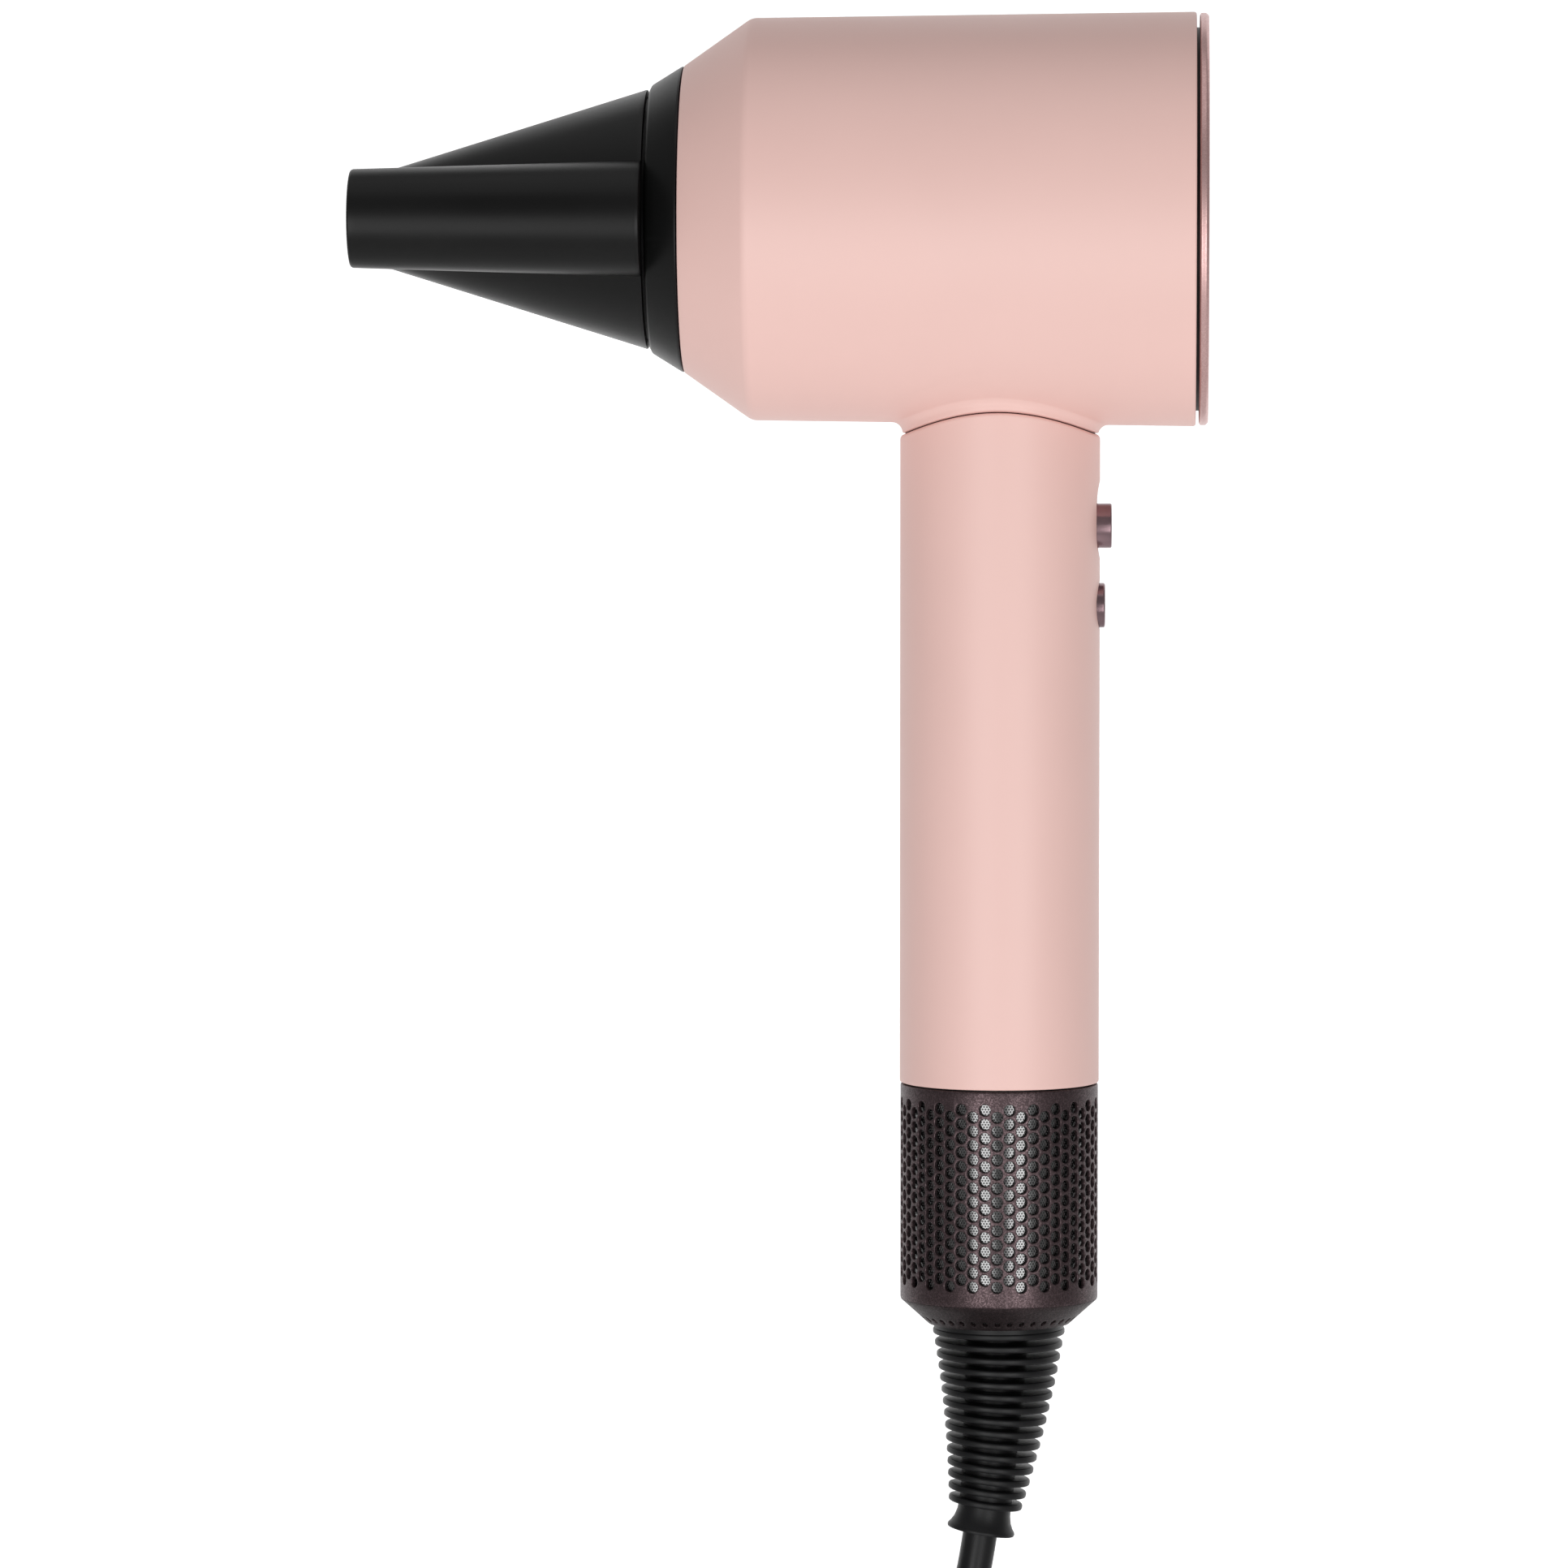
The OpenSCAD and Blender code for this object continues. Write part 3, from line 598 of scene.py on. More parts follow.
def add_cord(look):
    line = cord_line()
    data = bpy.data.curves.new("cord", "CURVE")
    data.dimensions = "3D"
    data.bevel_depth, data.bevel_resolution, data.use_fill_caps = CORD_R / 1000, 6, True
    spline = data.splines.new("POLY")
    spline.points.add(len(line) - 1)
    for point, p in zip(spline.points, line):
        point.co = (*(p / 1000), 1)
    cord = bpy.data.objects.new("cord", data)
    bpy.context.scene.collection.objects.link(cord)
    dress(cord, look, "cord_rubber", "dryer", "cord_lead", "cord_coil", "cord_tail")
    outside = line[len(INSIDE_RELIEF):]
    length = sum((b - a).length for a, b in zip(outside, outside[1:])) / 1000
    return cord, length


def bundle_outline(grow):
    """Outline of the coil's bundle of turns, as (radius, y)."""
    r = CORD_R + grow
    side, reach = 3 * CORD_R + grow, 4 * CORD_R + grow
    corners = [(1, 1), (-1, 1), (-1, -1), (1, -1)]
    return divided(soften([(COIL_R + a * side, b * reach, r) for a, b in corners], 8), 1.2)


def add_tie(look):
    """Strap round the coil, with its loose end laid over it."""
    shape = Shape()
    for start, end, inner, outer, part in ((128, 142, 0.05, 1.15, 1.0), (128.6, 141.4, 1.1, 2.0, 0.3)):
        section = soften([(start, inner, 0), (start, outer, 0), (end, outer, 0), (end, inner, 0)])
        section = divided(section, 0.9)
        rings = []
        for degree, grow in section:
            ring = bundle_outline(grow)
            ring = ring[: int(len(ring) * part)]
            a = radians(degree)
            rings.append([(COIL_X + r * cos(a), y, COIL_Z + r * sin(a)) for r, y in ring])
        shape.loft(rings, around=part == 1.0, along=True)
    tie = made_of("cord_strap", shape, 50)
    bevel = tie.modifiers.new("soft", "BEVEL")
    bevel.width, bevel.segments, bevel.limit_method = 0.0003, 2, "ANGLE"
    return dress(tie, look, "tie_fabric", "dryer", "cord_tie")


def add_relief(look):
    """Strain relief: a boss, a tapering core with rounded rings, and a flared end."""
    shape = Shape()
    shape.lathe_z(soften([(-208.6, 4, 0), (-208.6, 12.2, 0.3), (-203.4, 12.2, 0.3), (-203.4, 4, 0)]), 96)

    def ring_at(s, r, count=72):
        middle, out = along_relief(s)
        return [middle + out * (r * cos(a)) + Vector((0, r * sin(a), 0)) for a in turns(count)]

    for i in range(RINGS):
        s, r = 0.7 + RING_STEP * i, RING_R - i * RING_TAPER / (RINGS - 1)
        start, end = s - RING_HALF, s + RING_HALF
        rim = soften([(start, 4.4, 0), (start, r, 0.42), (end, r, 0.42), (end, 4.4, 0)], 5)
        shape.loft([ring_at(at, radius) for at, radius in rim], along=True)
    core = [(-2, 5.9)] + [(RELIEF_END - back, radius) for back, radius in (
        (8, 5.0), (5.2, 4.95), (3.6, 5.05), (2.2, 5.4), (1.2, 5.9), (0.7, 6.3), (0.35, 6.4), (0.05, 6.3),
        (0, 6.0), (0.1, 4.2), (0.5, 3.35), (6, 3.3))]
    shape.loft([ring_at(at, radius) for at, radius in core])
    return dress(made_of("relief", shape, 50), look, "cord_rubber", "dryer", "strain_relief")


def add_plug(look, pins_look):
    """Two-pin plug: a flat body with soft edges, grip ribs and a ringed gland, and its round pins."""
    x0, y0, z0 = PLUG
    shape = Shape()
    corners = [(-6.5, -6, 2), (6.5, -6, 2), (9.5, -11, 4), (17.5, -20, 6), (18.5, -25, 4), (18.5, -36, 2.6),
               (-18.5, -36, 2.6), (-18.5, -25, 4), (-17.5, -20, 6), (-9.5, -11, 4)]
    outline = divided(soften(corners, 5), 1.5)

    def drawn_in(by):
        """The outline, moved inwards."""
        ring = []
        for i, (a, b) in enumerate(outline):
            before, after = Vector(outline[i - 1]), Vector(outline[(i + 1) % len(outline)])
            along = (after - before).normalized()
            ring.append((a + along.y * by, b - along.x * by))
        return ring

    edge = [(6.9, 0), (7.6, 0.13), (8.2, 0.42), (8.66, 0.85), (8.93, 1.4), (9, 1.9)]
    steps = [(-x, by) for x, by in reversed(edge)] + [(0, 0)] + edge
    rings = [[(x0 + x, y0 + a, z0 + b) for a, b in drawn_in(by)] for x, by in steps]
    shape.loft(rings)
    shape.cap(rings[0])
    shape.cap(rings[-1])
    for side in (-1, 1):
        for k in range(4):
            z, half = z0 - 17.5 - 3.4 * k, 9 + 1.3 * k
            top, bottom = z + 0.7, z - 0.7
            bar = soften([(bottom, -0.3, 0), (bottom, 0.55, 0.4), (top, 0.55, 0.4), (top, -0.3, 0)], 4)
            ends = ((half, 0.1), (half - 0.5, 0.8), (half - 1.2, 1))
            sections = [(-w, part) for w, part in ends] + list(reversed(ends))
            shape.loft([[(x0 + side * (8.6 + h * part), y0 + w, up) for up, h in bar]
                        for w, part in sections])
    gland = [(z0 - 9, 3.4, 0), (z0 - 9, 6.7, 0)]
    for k in range(4):
        z, r = z0 - 7 + 2 * k, 6.6 - 0.4 * k
        gland += [(z - 0.6, r, 0.3), (z + 0.4, r - 0.05, 0.3)]
        gland += [(z + 0.6, r - 0.9, 0.2), (z + 1.1, r - 0.95, 0.2)]
    gland += [(z0, 4.6, 0.4), (z0, 3.3, 0)]
    shape.lathe_z(soften(gland, 3), 72, (x0, y0))
    body = dress(made_of("plug", shape, 40, weld=True), look, "plug_plastic", "dryer", "plug_body")
    pins = Shape()
    for side in (-1, 1):
        pin = soften([(z0 - 35.9, 0.01, 0), (z0 - 35.9, 3.4, 0.2), (z0 - 36.4, 3.4, 0.2), (z0 - 36.4, 2.4, 0),
                      (z0 - 55, 2.4, 1.5), (z0 - 55, 0.01, 0)], 6)
        pins.lathe_z(pin, 48, (x0, y0 + side * 9.5))
    return body, dress(made_of("pins", pins, 40), pins_look, "plug_metal", "dryer", "plug_pins")


# ---------- head ----------

def head_radius(x):
    return SHOULDER_R + (HEAD_R - SHOULDER_R) * (x - SHOULDER_X) / (REAR_X - SHOULDER_X)


def underside(r, rho, a):
    """Height of the underside of a cylinder of radius r along X, rho from the grip's axis in direction a."""
    return -sqrt(r * r - (rho * sin(a)) ** 2)


def under_head(rho, a):
    return underside(head_radius(rho * cos(a)), rho, a)


def lowest(f, first, last):
    """Where f is lowest between first and last, found by thirds."""
    for _ in range(26):
        a, b = first + (last - first) / 3, last - (last - first) / 3
        first, last = (first, b) if f(a) < f(b) else (a, last)
    return (first + last) / 2


def neck_outline(a):
    """From the head's underside down the fillet, round the lip and up inside it."""
    middle = COLLAR_R + FILLET

    def gap(z):
        """How far the head is from the fillet's centre at height z, and where it comes nearest."""
        rho = lowest(lambda r: hypot(middle - r, under_head(r, a) - z), 17.5, 24)
        return hypot(middle - rho, under_head(rho, a) - z), rho

    top = under_head(middle, a)
    bottom = top - 2 * FILLET
    for _ in range(22):
        z = (top + bottom) / 2
        top, bottom = (top, z) if gap(z)[0] > FILLET else (z, bottom)
    touch = gap(z)[1]
    first = atan2(under_head(touch, a) - z, touch - middle)

    def on_fillet(b):
        return middle + FILLET * cos(b), z + FILLET * sin(b)

    def from_axis(rho, height):
        return hypot(rho * sin(a), height)

    last, reach = pi, LIP_R - LIP_ROUND - LIP_MARGIN
    if from_axis(*on_fillet(pi)) > reach:
        near, far = first, pi
        for _ in range(30):
            last = (near + far) / 2
            near, far = (last, far) if from_axis(*on_fillet(last)) < reach else (near, last)
    outline = []
    for k in range(8, 0, -1):
        rho = touch + (NECK_EDGE - touch) * (k / 8) ** 1.2
        # The outer edge tucks into the head's wall.
        outline.append((rho, under_head(rho, a) + (0.012 if k == 8 else 0)))
    outline += [on_fillet(b) for b in arc_steps(first, last, 10)]
    wall = outline[-1][0]
    for t in arc_steps(0, pi / 2, 4):
        rho = wall - LIP_ROUND * (1 - cos(t))
        r = LIP_R - LIP_ROUND * (1 - sin(t))
        outline.append((rho, underside(r, rho, a)))
    for rho, r in ((16.9, LIP_R), (16.9, 37.4)):
        outline.append((rho, underside(r, rho, a)))
    return [(rho * cos(a), rho * sin(a), height) for rho, height in outline]


def on_head(p):
    """The exact normal of the head's straight part, and nothing elsewhere."""
    r = hypot(p.y, p.z)
    if not SHOULDER_X + 2.5 < p.x < REAR_X - 0.6 or abs(r - head_radius(p.x)) > 0.02:
        return None
    slope = (HEAD_R - SHOULDER_R) / (REAR_X - SHOULDER_X)
    return Vector((-slope, p.y / r, p.z / r)).normalized()


def add_head(look, gap_look):
    """The head's shell with its neck, and a dark ring in the seam under the neck that paints the shadow in
    the gap.
    """
    shape = Shape()
    outline = soften([
        (FRONT_X, FRONT_R, 0.35), (SHOULDER_X, SHOULDER_R, 3.0), (REAR_X, HEAD_R, 0.45),
        (REAR_X, HEAD_R - 1.9, 0.3), (SHOULDER_X + 1, SHOULDER_R - 2, 2),
        (FRONT_X + 1.5, FRONT_R - 1.8, 0), (FRONT_X, FRONT_R - 1.9, 0.3),
    ], 6)

    def outside_neck(face):
        return not (all(p[2] < 0 for p in face) and all(hypot(p[0], p[1]) < NECK_CUT for p in face))

    shape.lathe_x(divided(outline, 1.1), 256, keep=outside_neck)
    shape.loft([neck_outline(a) for a in turns(192)], around=False, along=True)
    dress(made_of("head", shape, 40, normal_at=on_head), look, "shell_pink", "dryer", "head_shell")
    # Dark ring inside the seam between head and grip: painted shadow for the gap.
    section = ((17.0, 39.0), (17.75, 39.0), (17.75, 41.2), (17.0, 41.2))
    gap = Shape()
    gap.loft([[(rho * cos(a), rho * sin(a), underside(r, rho, a)) for rho, r in section]
              for a in turns(96)], along=True)
    dress(made_of("seam_shadow_ring", gap), gap_look, "dark_plastic", "dryer")


# ---------- grip ----------

def pill(r, reach, z, count=24):
    """Outline of a pill or, with no reach, of a circle, as (y, z)."""
    if reach == 0:
        return [(r * cos(a), z + r * sin(a)) for a in turns(2 * count)]
    return [(r * cos(a), z + reach + r * sin(a)) for a in arc_steps(0, pi, count)] + [
        (r * cos(a), z - reach + r * sin(a)) for a in arc_steps(pi, tau, count)]


def inside_pill(y, z, r, reach, middle):
    return hypot(y, max(0, abs(z - middle) - reach)) < r


def grip_rows():
    rows = [GRIP_BOTTOM + 0.5] + list(range(-158, CONTROL_BOTTOM, 6))
    return rows + list(range(CONTROL_BOTTOM, CONTROL_TOP + 1, 4))


def grip_outline(a):
    """From the grip's lower edge up its side, over the rounded top edge and in."""
    edge = ((1.8, 0), (0.4, 0), (0.12, 0.1), (0.02, 0.25))
    outline = [(GRIP_R - back, GRIP_BOTTOM + up) for back, up in edge]
    outline += [(GRIP_R, z) for z in grip_rows()]
    start = underside(TOP_R + TOP_ROUND, GRIP_R, a)
    outline += [(GRIP_R, CONTROL_TOP + (start - CONTROL_TOP) * k / 3) for k in (1, 2)]
    for t in arc_steps(0, pi / 2, 6):
        rho = GRIP_R - TOP_ROUND * (1 - cos(t))
        r = TOP_R + TOP_ROUND * (1 - sin(t))
        outline.append((rho, underside(r, rho, a)))
    outline.append((GRIP_R - 1.8, underside(TOP_R, GRIP_R - 1.8, a)))
    return [(rho * cos(a), rho * sin(a), height) for rho, height in outline]


def add_control_panel(shape):
    """The part of the grip round the slider's slot and the button's hole, with rounded rims."""
    rim, filling = 0.3, 1.3
    holes = [(SLOT_R, SLOT_REACH, SLOT_Z), (BUTTON_R, 0, BUTTON_Z)]
    reach = CONTROL_COLUMNS
    columns = [tau * k / GRIP_COLUMNS * GRIP_R for k in range(-reach, reach + 1)]
    rows = range(CONTROL_BOTTOM + 4, CONTROL_TOP, 4)
    border = [(s, CONTROL_BOTTOM) for s in columns] + [(columns[-1], z) for z in rows]
    border += [(s, CONTROL_TOP) for s in reversed(columns)] + [(columns[0], z) for z in reversed(rows)]
    flat, edges = [], []

    def add_loop(loop):
        start = len(flat)
        flat.extend(Vector(p) for p in loop)
        edges.extend((start + k, start + (k + 1) % len(loop)) for k in range(len(loop)))

    def unrolled(y):
        return GRIP_R * atan2(y, sqrt(GRIP_R ** 2 - y * y))

    add_loop(border)
    for r, length, z in holes:
        add_loop([(unrolled(y), zz) for y, zz in pill(r + rim, length, z)])
    for s in [filling * k for k in range(-6, 7)]:
        y = GRIP_R * sin(s / GRIP_R)
        for z in [CONTROL_BOTTOM + 1.4 + filling * k for k in range(29)]:
            if not any(inside_pill(y, z, r + rim + 0.6, length, zz) for r, length, zz in holes):
                flat.append(Vector((s, z)))
    points, _, faces, _, _, _ = delaunay_2d_cdt(flat, edges, [], 0, 1e-5)
    start = len(shape.points)
    spots = [(GRIP_R * sin(p.x / GRIP_R), p.y, GRIP_R * cos(p.x / GRIP_R)) for p in points]
    shape.points.extend((x, y, z) for y, z, x in spots)
    for face in faces:
        y = sum(spots[v][0] for v in face) / len(face)
        z = sum(spots[v][1] for v in face) / len(face)
        if not any(inside_pill(y, z, r + rim, length, zz) for r, length, zz in holes):
            shape.faces.append(tuple(start + v for v in face))
    for r, length, z in holes:
        rings = []
        for t in arc_steps(0, pi / 2, 5):
            rings.append([(sqrt(GRIP_R ** 2 - y * y) - rim * (1 - cos(t)), y, zz)
                          for y, zz in pill(r + rim * (1 - sin(t)), length, z)])
        rings.append([(15.6, y, zz) for y, zz in pill(r, length, z)])
        shape.loft(rings)


def on_grip(p):
    """The exact normal of the grip's side, and nothing elsewhere."""
    if abs(hypot(p.x, p.y) - GRIP_R) > 0.001:
        return None
    start = -sqrt((TOP_R + TOP_ROUND) ** 2 - p.y ** 2)
    if p.z > start + 0.01 or p.z < GRIP_BOTTOM + 0.4:
        return None
    return Vector((p.x, p.y, 0)).normalized()


def add_grip(look):
    """The grip, with the small ring engraved near its lower edge."""
    shape = Shape()
    edge = GRIP_R * sin(tau * CONTROL_COLUMNS / GRIP_COLUMNS)

    def beside_panel(face):
        return not all(
            x > 0 and abs(y) < edge + 0.01 and CONTROL_BOTTOM - 0.01 < z < CONTROL_TOP + 0.01
            for x, y, z in face)

    shape.loft([grip_outline(a) for a in turns(GRIP_COLUMNS)], around=False, along=True, keep=beside_panel)
    add_control_panel(shape)
    shape.lathe_z([(-161.2, 16.9), (-161.2, 16.8), (-46, 16.8), (-46, 16.9)], 96)
    grip = made_of("grip", shape, 40, weld=True, normal_at=on_grip)
    dress(grip, look, "shell_pink", "dryer", "handle_shell")
    mark, rings = Shape(), []
    middle = atan2(-sqrt(GRIP_R ** 2 - MARK_X ** 2), MARK_X) * GRIP_R
    for a in turns(40):
        ring = []
        for b in turns(8):
            r, rho = MARK_R + 0.07 * cos(b), GRIP_R + 0.02 * sin(b)
            s = middle + r * cos(a)
            ring.append((rho * cos(s / GRIP_R), rho * sin(s / GRIP_R), MARK_Z + r * sin(a)))
        rings.append(ring)
    mark.loft(rings, along=True)
    dress(made_of("grip_mark", mark), look, "shell_pink", "dryer")


def add_controls(look):
    """Power slider and cool-shot button: short drums with a chamfered rim and a shallow dish."""
    drum = [(15.2, 0.01, 0), (15.2, 4.2, 0), (20.9, 4.2, 0.35), (20.9, 3.6, 0.1), (20.65, 3.3, 0.2),
            (20.6, 0.01, 0)]
    knob = Shape()
    knob.lathe_x(soften(drum, 4), 96, (0, KNOB_Z))
    top, bottom = KNOB_Z + 8.7, KNOB_Z - 9.1
    plate = soften([(-5, bottom, 1), (5, bottom, 1), (5, top, 1), (-5, top, 1)], 4)
    rings = [[(x, y, z) for y, z in plate] for x in (14.4, 15.5)]
    knob.loft(rings)
    knob.cap(rings[0])
    knob.cap(rings[1])
    dress(made_of("slider_knob", knob, 30), look, "plum_metal", "slider", "power_slider")
    drum = [(14.4, 0.01, 0), (14.4, 5.2, 0.2), (15.5, 5.2, 0.2), (15.5, 4.2, 0), (19.7, 4.2, 0.4),
            (19.7, 3.4, 0.3), (19.4, 2.6, 1), (19.35, 0.01, 0)]
    button = Shape()
    button.lathe_x(soften(drum, 4), 96, (0, BUTTON_Z))
    button.lathe_x([(10.8, 0.01), (10.8, 1.4), (14.6, 1.4), (14.6, 0.01)], 32, (0, BUTTON_Z))
    dress(made_of("cool_button", button, 30), look, "plum_metal", "cool_shot", "cool_shot_button")


# ---------- back of the head ----------

def add_back(look):
    """The trim ring round the back of the head, and the caps of the airflow and heat buttons."""
    section = [(37.1, 33.4, 0.2), (37.1, 38.0, 0.3), (37.35, 38.4, 0.25), (38.3, 38.4, 0.55),
               (38.8, 37.9, 0.3), (38.8, 33.9, 0.3), (38.3, 33.4, 0.2)]
    ring = Shape()
    ring.lathe_x(soften(section, 5), 256)
    dress(made_of("trim_ring", ring, 60), look, "rose_metal", "dryer", "rear_trim_ring")
    flange_r = 3.6
    side = high("heat_button").y - flange_r
    for name, y, body in (("airflow_cap", -side, "airflow"), ("heat_cap", side, "heat")):
        cap = Shape()
        rings = [[(x, y + a, b) for a, b in pill(r, 1.9, 0)] for x, r in (
            (34.5, 2.6), (38.0, 2.6), (38.2, 2.55), (38.33, 2.42), (38.4, 2.2), (38.36, 1.6), (38.3, 0.6))]
        cap.loft(rings)
        cap.cap(rings[-1])
        flange = [[(x, y + a, b) for a, b in pill(flange_r, 1.9, 0)] for x in (33.6, 35.2)]
        cap.loft(flange)
        cap.cap(flange[0])
        cap.cap(flange[1])
        cap.lathe_x([(32.7, 0.01), (32.7, 1.4), (34, 1.4), (34, 0.01)], 24, (y, 0))
        dress(made_of(name, cap, 40), look, "rose_metal", body, body + "_button")


# ---------- filter ----------

def cage_cell():
    """Boundary of one hole's cell, a hexagon, in order round it, as (across, up)."""
    wide, half = tau * CAGE_R / COLUMNS, PITCH / 2
    side, shoulder = (wide + half * half / wide) / 2, (wide - half * half / wide) / 2
    corners = [(side, 0), (shoulder, half), (-shoulder, half)]
    corners += [(-a, -b) for a, b in corners]
    cell = []
    for (a, b), (c, d) in zip(corners, corners[1:] + corners[:1]):
        cell += [(a + (c - a) * k / 4, b + (d - b) * k / 4) for k in range(4)]
    return cell


def wrapped(s, z, depth=0.0):
    """A point on the cage, from its place on the unrolled sheet."""
    a = s / CAGE_R
    return (CAGE_R - depth) * cos(a), (CAGE_R - depth) * sin(a), z


def add_cage(look):
    """The filter's cage: a cell of sheet round each hole, and a plain band above and below them."""
    shape = Shape()
    wide, rim, cell = tau * CAGE_R / COLUMNS, 0.14, cage_cell()

    def circle(s, z, r, depth):
        return [wrapped(s + r * cos(b), z + r * sin(b), depth) for b in turns(24)]

    for column in range(COLUMNS):
        s0 = (column + 0.5) * wide
        for row in range(ROWS):
            z0 = FIRST_ROW - (row + (column % 2) / 2) * PITCH
            rings = [[wrapped(s0 + s, z0 + z) for s, z in cell]]
            for t in arc_steps(0, pi / 2, 3):
                rings.append(circle(s0, z0, HOLE_R + rim * (1 - sin(t)), rim * (1 - cos(t))))
            rings.append(circle(s0, z0, HOLE_R, CAGE_WALL))
            shape.loft(rings)
    for up, first in ((1, FIRST_ROW), (-1, FIRST_ROW - (ROWS - 1) * PITCH)):
        chain = []
        for column in range(COLUMNS):
            s0 = (column + 0.5) * wide
            z0 = first - (column % 2) * PITCH / 2
            outer = (column % 2 == 0) == (up == 1)
            part = cell[0:13] if outer else cell[4:9]
            part = [(s, up * z) for s, z in part][::-1]
            chain += [(s0 + s, z0 + z) for s, z in part[:-1]]
        end = CAGE_TOP if up == 1 else CAGE_BOTTOM
        rows = [[(s, z, 0) for s, z in chain]]
        rows += [[(s, end - up * off, depth) for s, _ in chain] for off, depth in (
            (1.1, 0), (0.3, 0), (0.1, 0.06), (0.02, 0.15), (0, 0.3), (0, CAGE_WALL), (2.0, CAGE_WALL))]
        shape.loft([[wrapped(s, z, depth) for s, z, depth in row] for row in rows])
    dress(made_of("cage", shape, 45, weld=True), look, "plum_metal", "filter", "filter_cage")


def add_collar(look, mesh_look):
    """Cone under the cage, with a ring of small vents near its lower edge and fine mesh behind them."""
    top_r = CAGE_R - 0.02
    slope = hypot(top_r - COLLAR_END_R, CAGE_BOTTOM - COLLAR_BOTTOM)
    inward = Vector((-(CAGE_BOTTOM - COLLAR_BOTTOM), top_r - COLLAR_END_R)).normalized()

    def spot(degree, t, depth=0.0):
        r = top_r + (COLLAR_END_R - top_r) * t + inward.x * depth
        z = CAGE_BOTTOM + (COLLAR_BOTTOM - CAGE_BOTTOM) * t + inward.y * depth
        return r * cos(radians(degree)), r * sin(radians(degree)), z

    shape, step = Shape(), 360 / VENTS
    first, last, middle = 0.56, 0.9, 0.73
    edge = [(step / 2 - step * k / 6, first) for k in range(6)]
    edge += [(-step / 2, first + (last - first) * k / 6) for k in range(6)]
    edge += [(-step / 2 + step * k / 6, last) for k in range(6)]
    edge += [(step / 2, last + (first - last) * k / 6) for k in range(6)]
    for vent in range(VENTS):
        d0 = vent * step
        rings = [[spot(d0 + d, t) for d, t in edge]]
        for grow, depth in ((0.16, 0), (0.05, 0.03), (0, 0.14), (0, 0.6)):
            rings.append([
                spot(d0 + (VENT_WIDE + grow) / VENT_R / tau * 360 * cos(b),
                     middle - (VENT_HIGH + grow) / slope * sin(b), depth)
                for b in turns(24, radians(45))])
        shape.loft(rings)
    degrees_round = [vent * step - step / 2 + step * k / 6 for vent in range(VENTS) for k in range(6)]
    shape.loft([[spot(d, t, depth) for d in degrees_round]
                for t, depth in ((0, 0.3), (0, 0.05), (0.02, 0), (0.2, 0), (0.38, 0), (first, 0))])
    shape.loft([[spot(d, t, depth) for d in degrees_round]
                for t, depth in ((last, 0), (0.97, 0), (0.99, 0.03), (1, 0.15), (1, 0.5))])
    dress(made_of("collar", shape, 45, weld=True), look, "plum_metal", "filter", "filter_collar")
    liner = Shape()
    liner.loft([[spot(3 * k, t, depth) for k in range(120)]
                for t, depth in ((0.3, 0.7), (1, 0.62), (1, 0.9), (0.3, 1.0))], along=True)
    dress(made_of("collar_mesh", liner), mesh_look, "mesh_steel", "filter")


# ---------- nozzle ----------

def duct_size(x, inset):
    t = (x - TIP_X) / (RIM_X - TIP_X)
    return TIP_W + (END_W - TIP_W) * t - inset, TIP_H + (END_H - TIP_H) * t - inset


def cone_radius(x, inset):
    return RIM_R + (x - RIM_X) * SLOPE - inset


def quarter(w, h, r, round_steps=14, flat_steps=10):
    """A quarter of the hood's section, from +Y to +Z: a slab with a round end, and a circle of radius r
    where that stands proud of the slab."""
    middle = w - h

    def round_end(last):
        return [(middle + h * cos(b), h * sin(b)) for b in arc_steps(0, last, round_steps)]

    if r <= h + 1e-6:
        flat = [(middle * (1 - k / flat_steps), h) for k in range(1, flat_steps + 1)]
        return round_end(pi / 2) + flat + [(0, h)] * flat_steps
    meets = sqrt(r * r - h * h)
    if meets < middle:
        points = round_end(pi / 2)
        points += [(middle + (meets - middle) * k / flat_steps, h) for k in range(1, flat_steps + 1)]
        first = atan2(h, meets)
    else:
        crease = (r * r - middle * middle - h * h) / (2 * middle * h)
        points = round_end(acos(max(0.0, min(1.0, crease))))
        points += [points[-1]] * flat_steps
        first = atan2(points[-1][1], points[-1][0])
    return points + [(r * cos(b), r * sin(b)) for b in arc_steps(first, pi / 2, flat_steps)[1:]]


def all_round(x, w, h, r):
    part = quarter(w, h, r)
    around = part + [(-y, z) for y, z in part[-2::-1]]
    around += [(-y, -z) for y, z in part[1:]] + [(y, -z) for y, z in part[-2:0:-1]]
    return [(x, y, z) for y, z in around]


def hood_ring(x, inset=0.0):
    return all_round(x, *duct_size(x, inset), cone_radius(x, inset))


def mouth_ring(x, w, h):
    return all_round(x, w, h, 0.0)


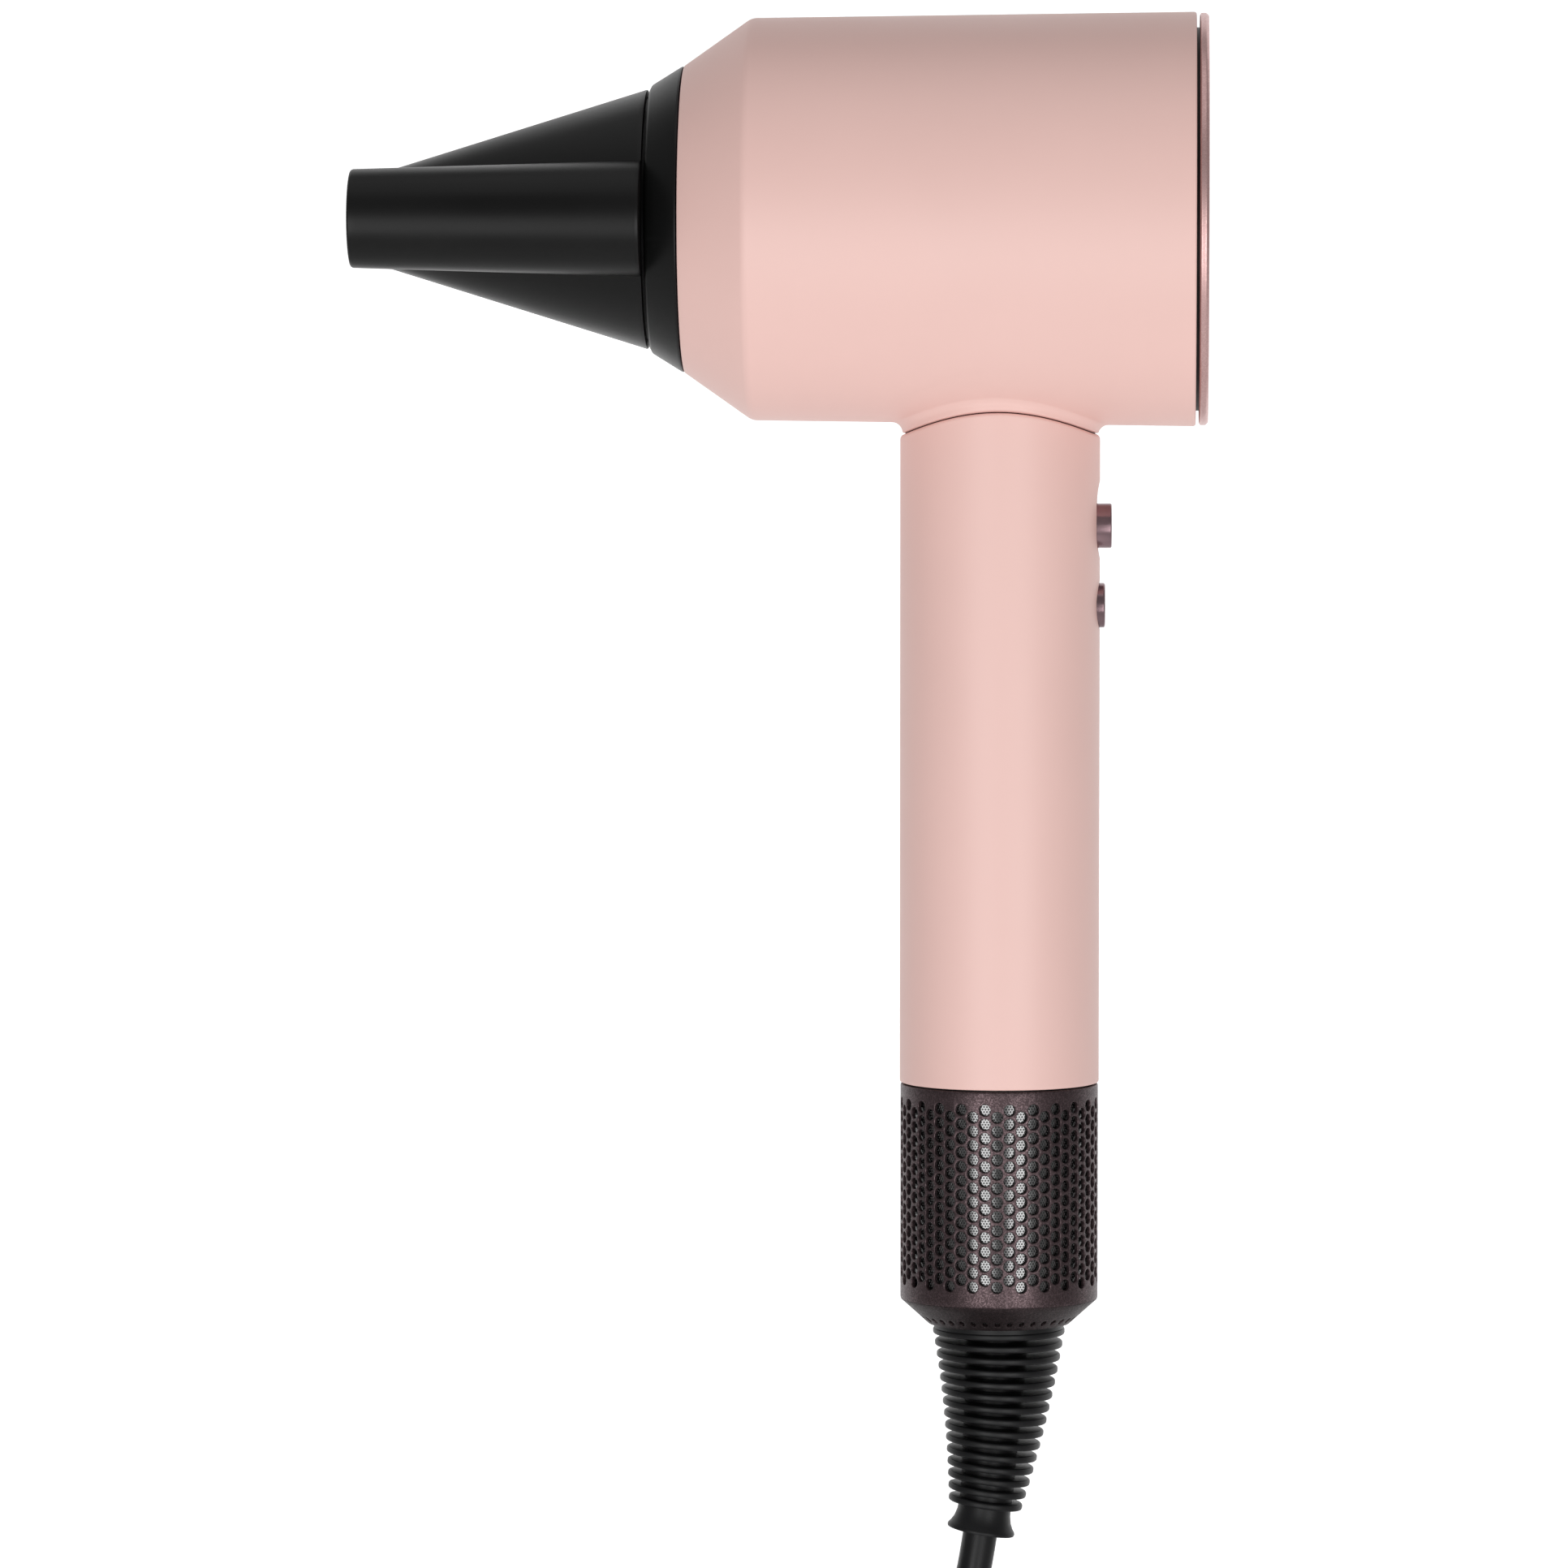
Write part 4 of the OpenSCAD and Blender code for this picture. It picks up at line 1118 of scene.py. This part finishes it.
def add_nozzle(look):
    """The nozzle's base ring, and its hood: a flat duct that runs through a cone."""
    section = [
        (-59.2, 24.8, 0), (-59.2, 25.2, 0), (-60.6, 25.2, 0), (-60.6, 26.7, 0), (-59.2, 26.7, 0.1),
        (-59.2, 28.6, 0.15), (-59.65, 28.42, 0.15), (-65.0, 25.1, 0.9), (-65.4, 24.3, 0.3),
        (-65.4, 22.6, 0), (-66.7, 22.6, 0.1), (-66.7, 21.8, 0.1), (-65.3, 21.8, 0),
        (-61, 22.4, 0), (-61, 24.8, 0),
    ]
    base = Shape()
    base.lathe_x(soften(section, 5), 256)
    dress(made_of("nozzle_ring", base, 35), look, "nozzle_black", "nozzle", "nozzle_base_ring")

    rings = [hood_ring(RIM_X - back, inset) for back, inset in ((0, 0.35), (0.1, 0.1), (0.35, 0.0))]
    rings += [hood_ring(x) for x in arc_steps(RIM_X - 1.0, TIP_X + TIP_ROUND, 44)]
    for t in arc_steps(0, pi / 2, 4)[1:]:
        inset = TIP_ROUND * (1 - cos(t))
        rings.append(mouth_ring(TIP_X + TIP_ROUND * (1 - sin(t)), TIP_W - inset, TIP_H - inset))
    slot_w, slot_h = TIP_W - 4.1, 3.9
    for t in arc_steps(0, pi / 2, 4):
        grow = MOUTH_ROUND * (1 - sin(t))
        rings.append(mouth_ring(TIP_X + MOUTH_ROUND * (1 - cos(t)), slot_w + grow, slot_h + grow))
    rings.append(mouth_ring(TIP_X + 2.6, slot_w, slot_h))
    rings += [hood_ring(x, HOOD_WALL) for x in arc_steps(TIP_X + 2.7, RIM_X - HOOD_LEDGE, 12)]
    rings += [[(x, HOOD_BORE * cos(a), HOOD_BORE * sin(a)) for a in turns(len(rings[0]))]
              for x in (RIM_X - HOOD_LEDGE, RIM_X)]
    hood = Shape()
    hood.loft(rings, along=True)
    dress(made_of("nozzle_body", hood, 26, weld=True), look, "nozzle_black", "nozzle", "nozzle_hood")


# ---------- the whole dryer ----------

LOOKS = {make.__name__: make() for make in (
    shell_pink, rose_metal, plum_metal, nozzle_black, black_plastic, dark_plastic, steel, mesh_steel,
    resistance_wire, mica, circuit_board, aluminium, magnet, copper, foam, mount_rubber, lead_rubber,
    cord_rubber, tie_fabric, plug_plastic, plug_metal, lens)}


def paint_cad_nodes():
    """Gives every CAD node the look of its material slot."""
    for part in frame["record"]["subparts"]:
        data = frame["nodes"][part["node"]].data
        data.materials.clear()
        data.materials.append(LOOKS[part["material_slot"]])


add_camera()
cord, cord_length = add_cord(LOOKS["cord_rubber"])
relief = add_relief(LOOKS["cord_rubber"])
tie = add_tie(LOOKS["tie_fabric"])
plug, pins = add_plug(LOOKS["plug_plastic"], LOOKS["plug_metal"])
paint_cad_nodes()
add_head(LOOKS["shell_pink"], seam_shadow())
add_grip(LOOKS["shell_pink"])
add_controls(plum_gloss())
add_back(LOOKS["rose_metal"])
add_cage(LOOKS["plum_metal"])
add_collar(plum_painted_shade(), LOOKS["mesh_steel"])
add_nozzle(LOOKS["nozzle_black"])
add_studio()
add_floor()
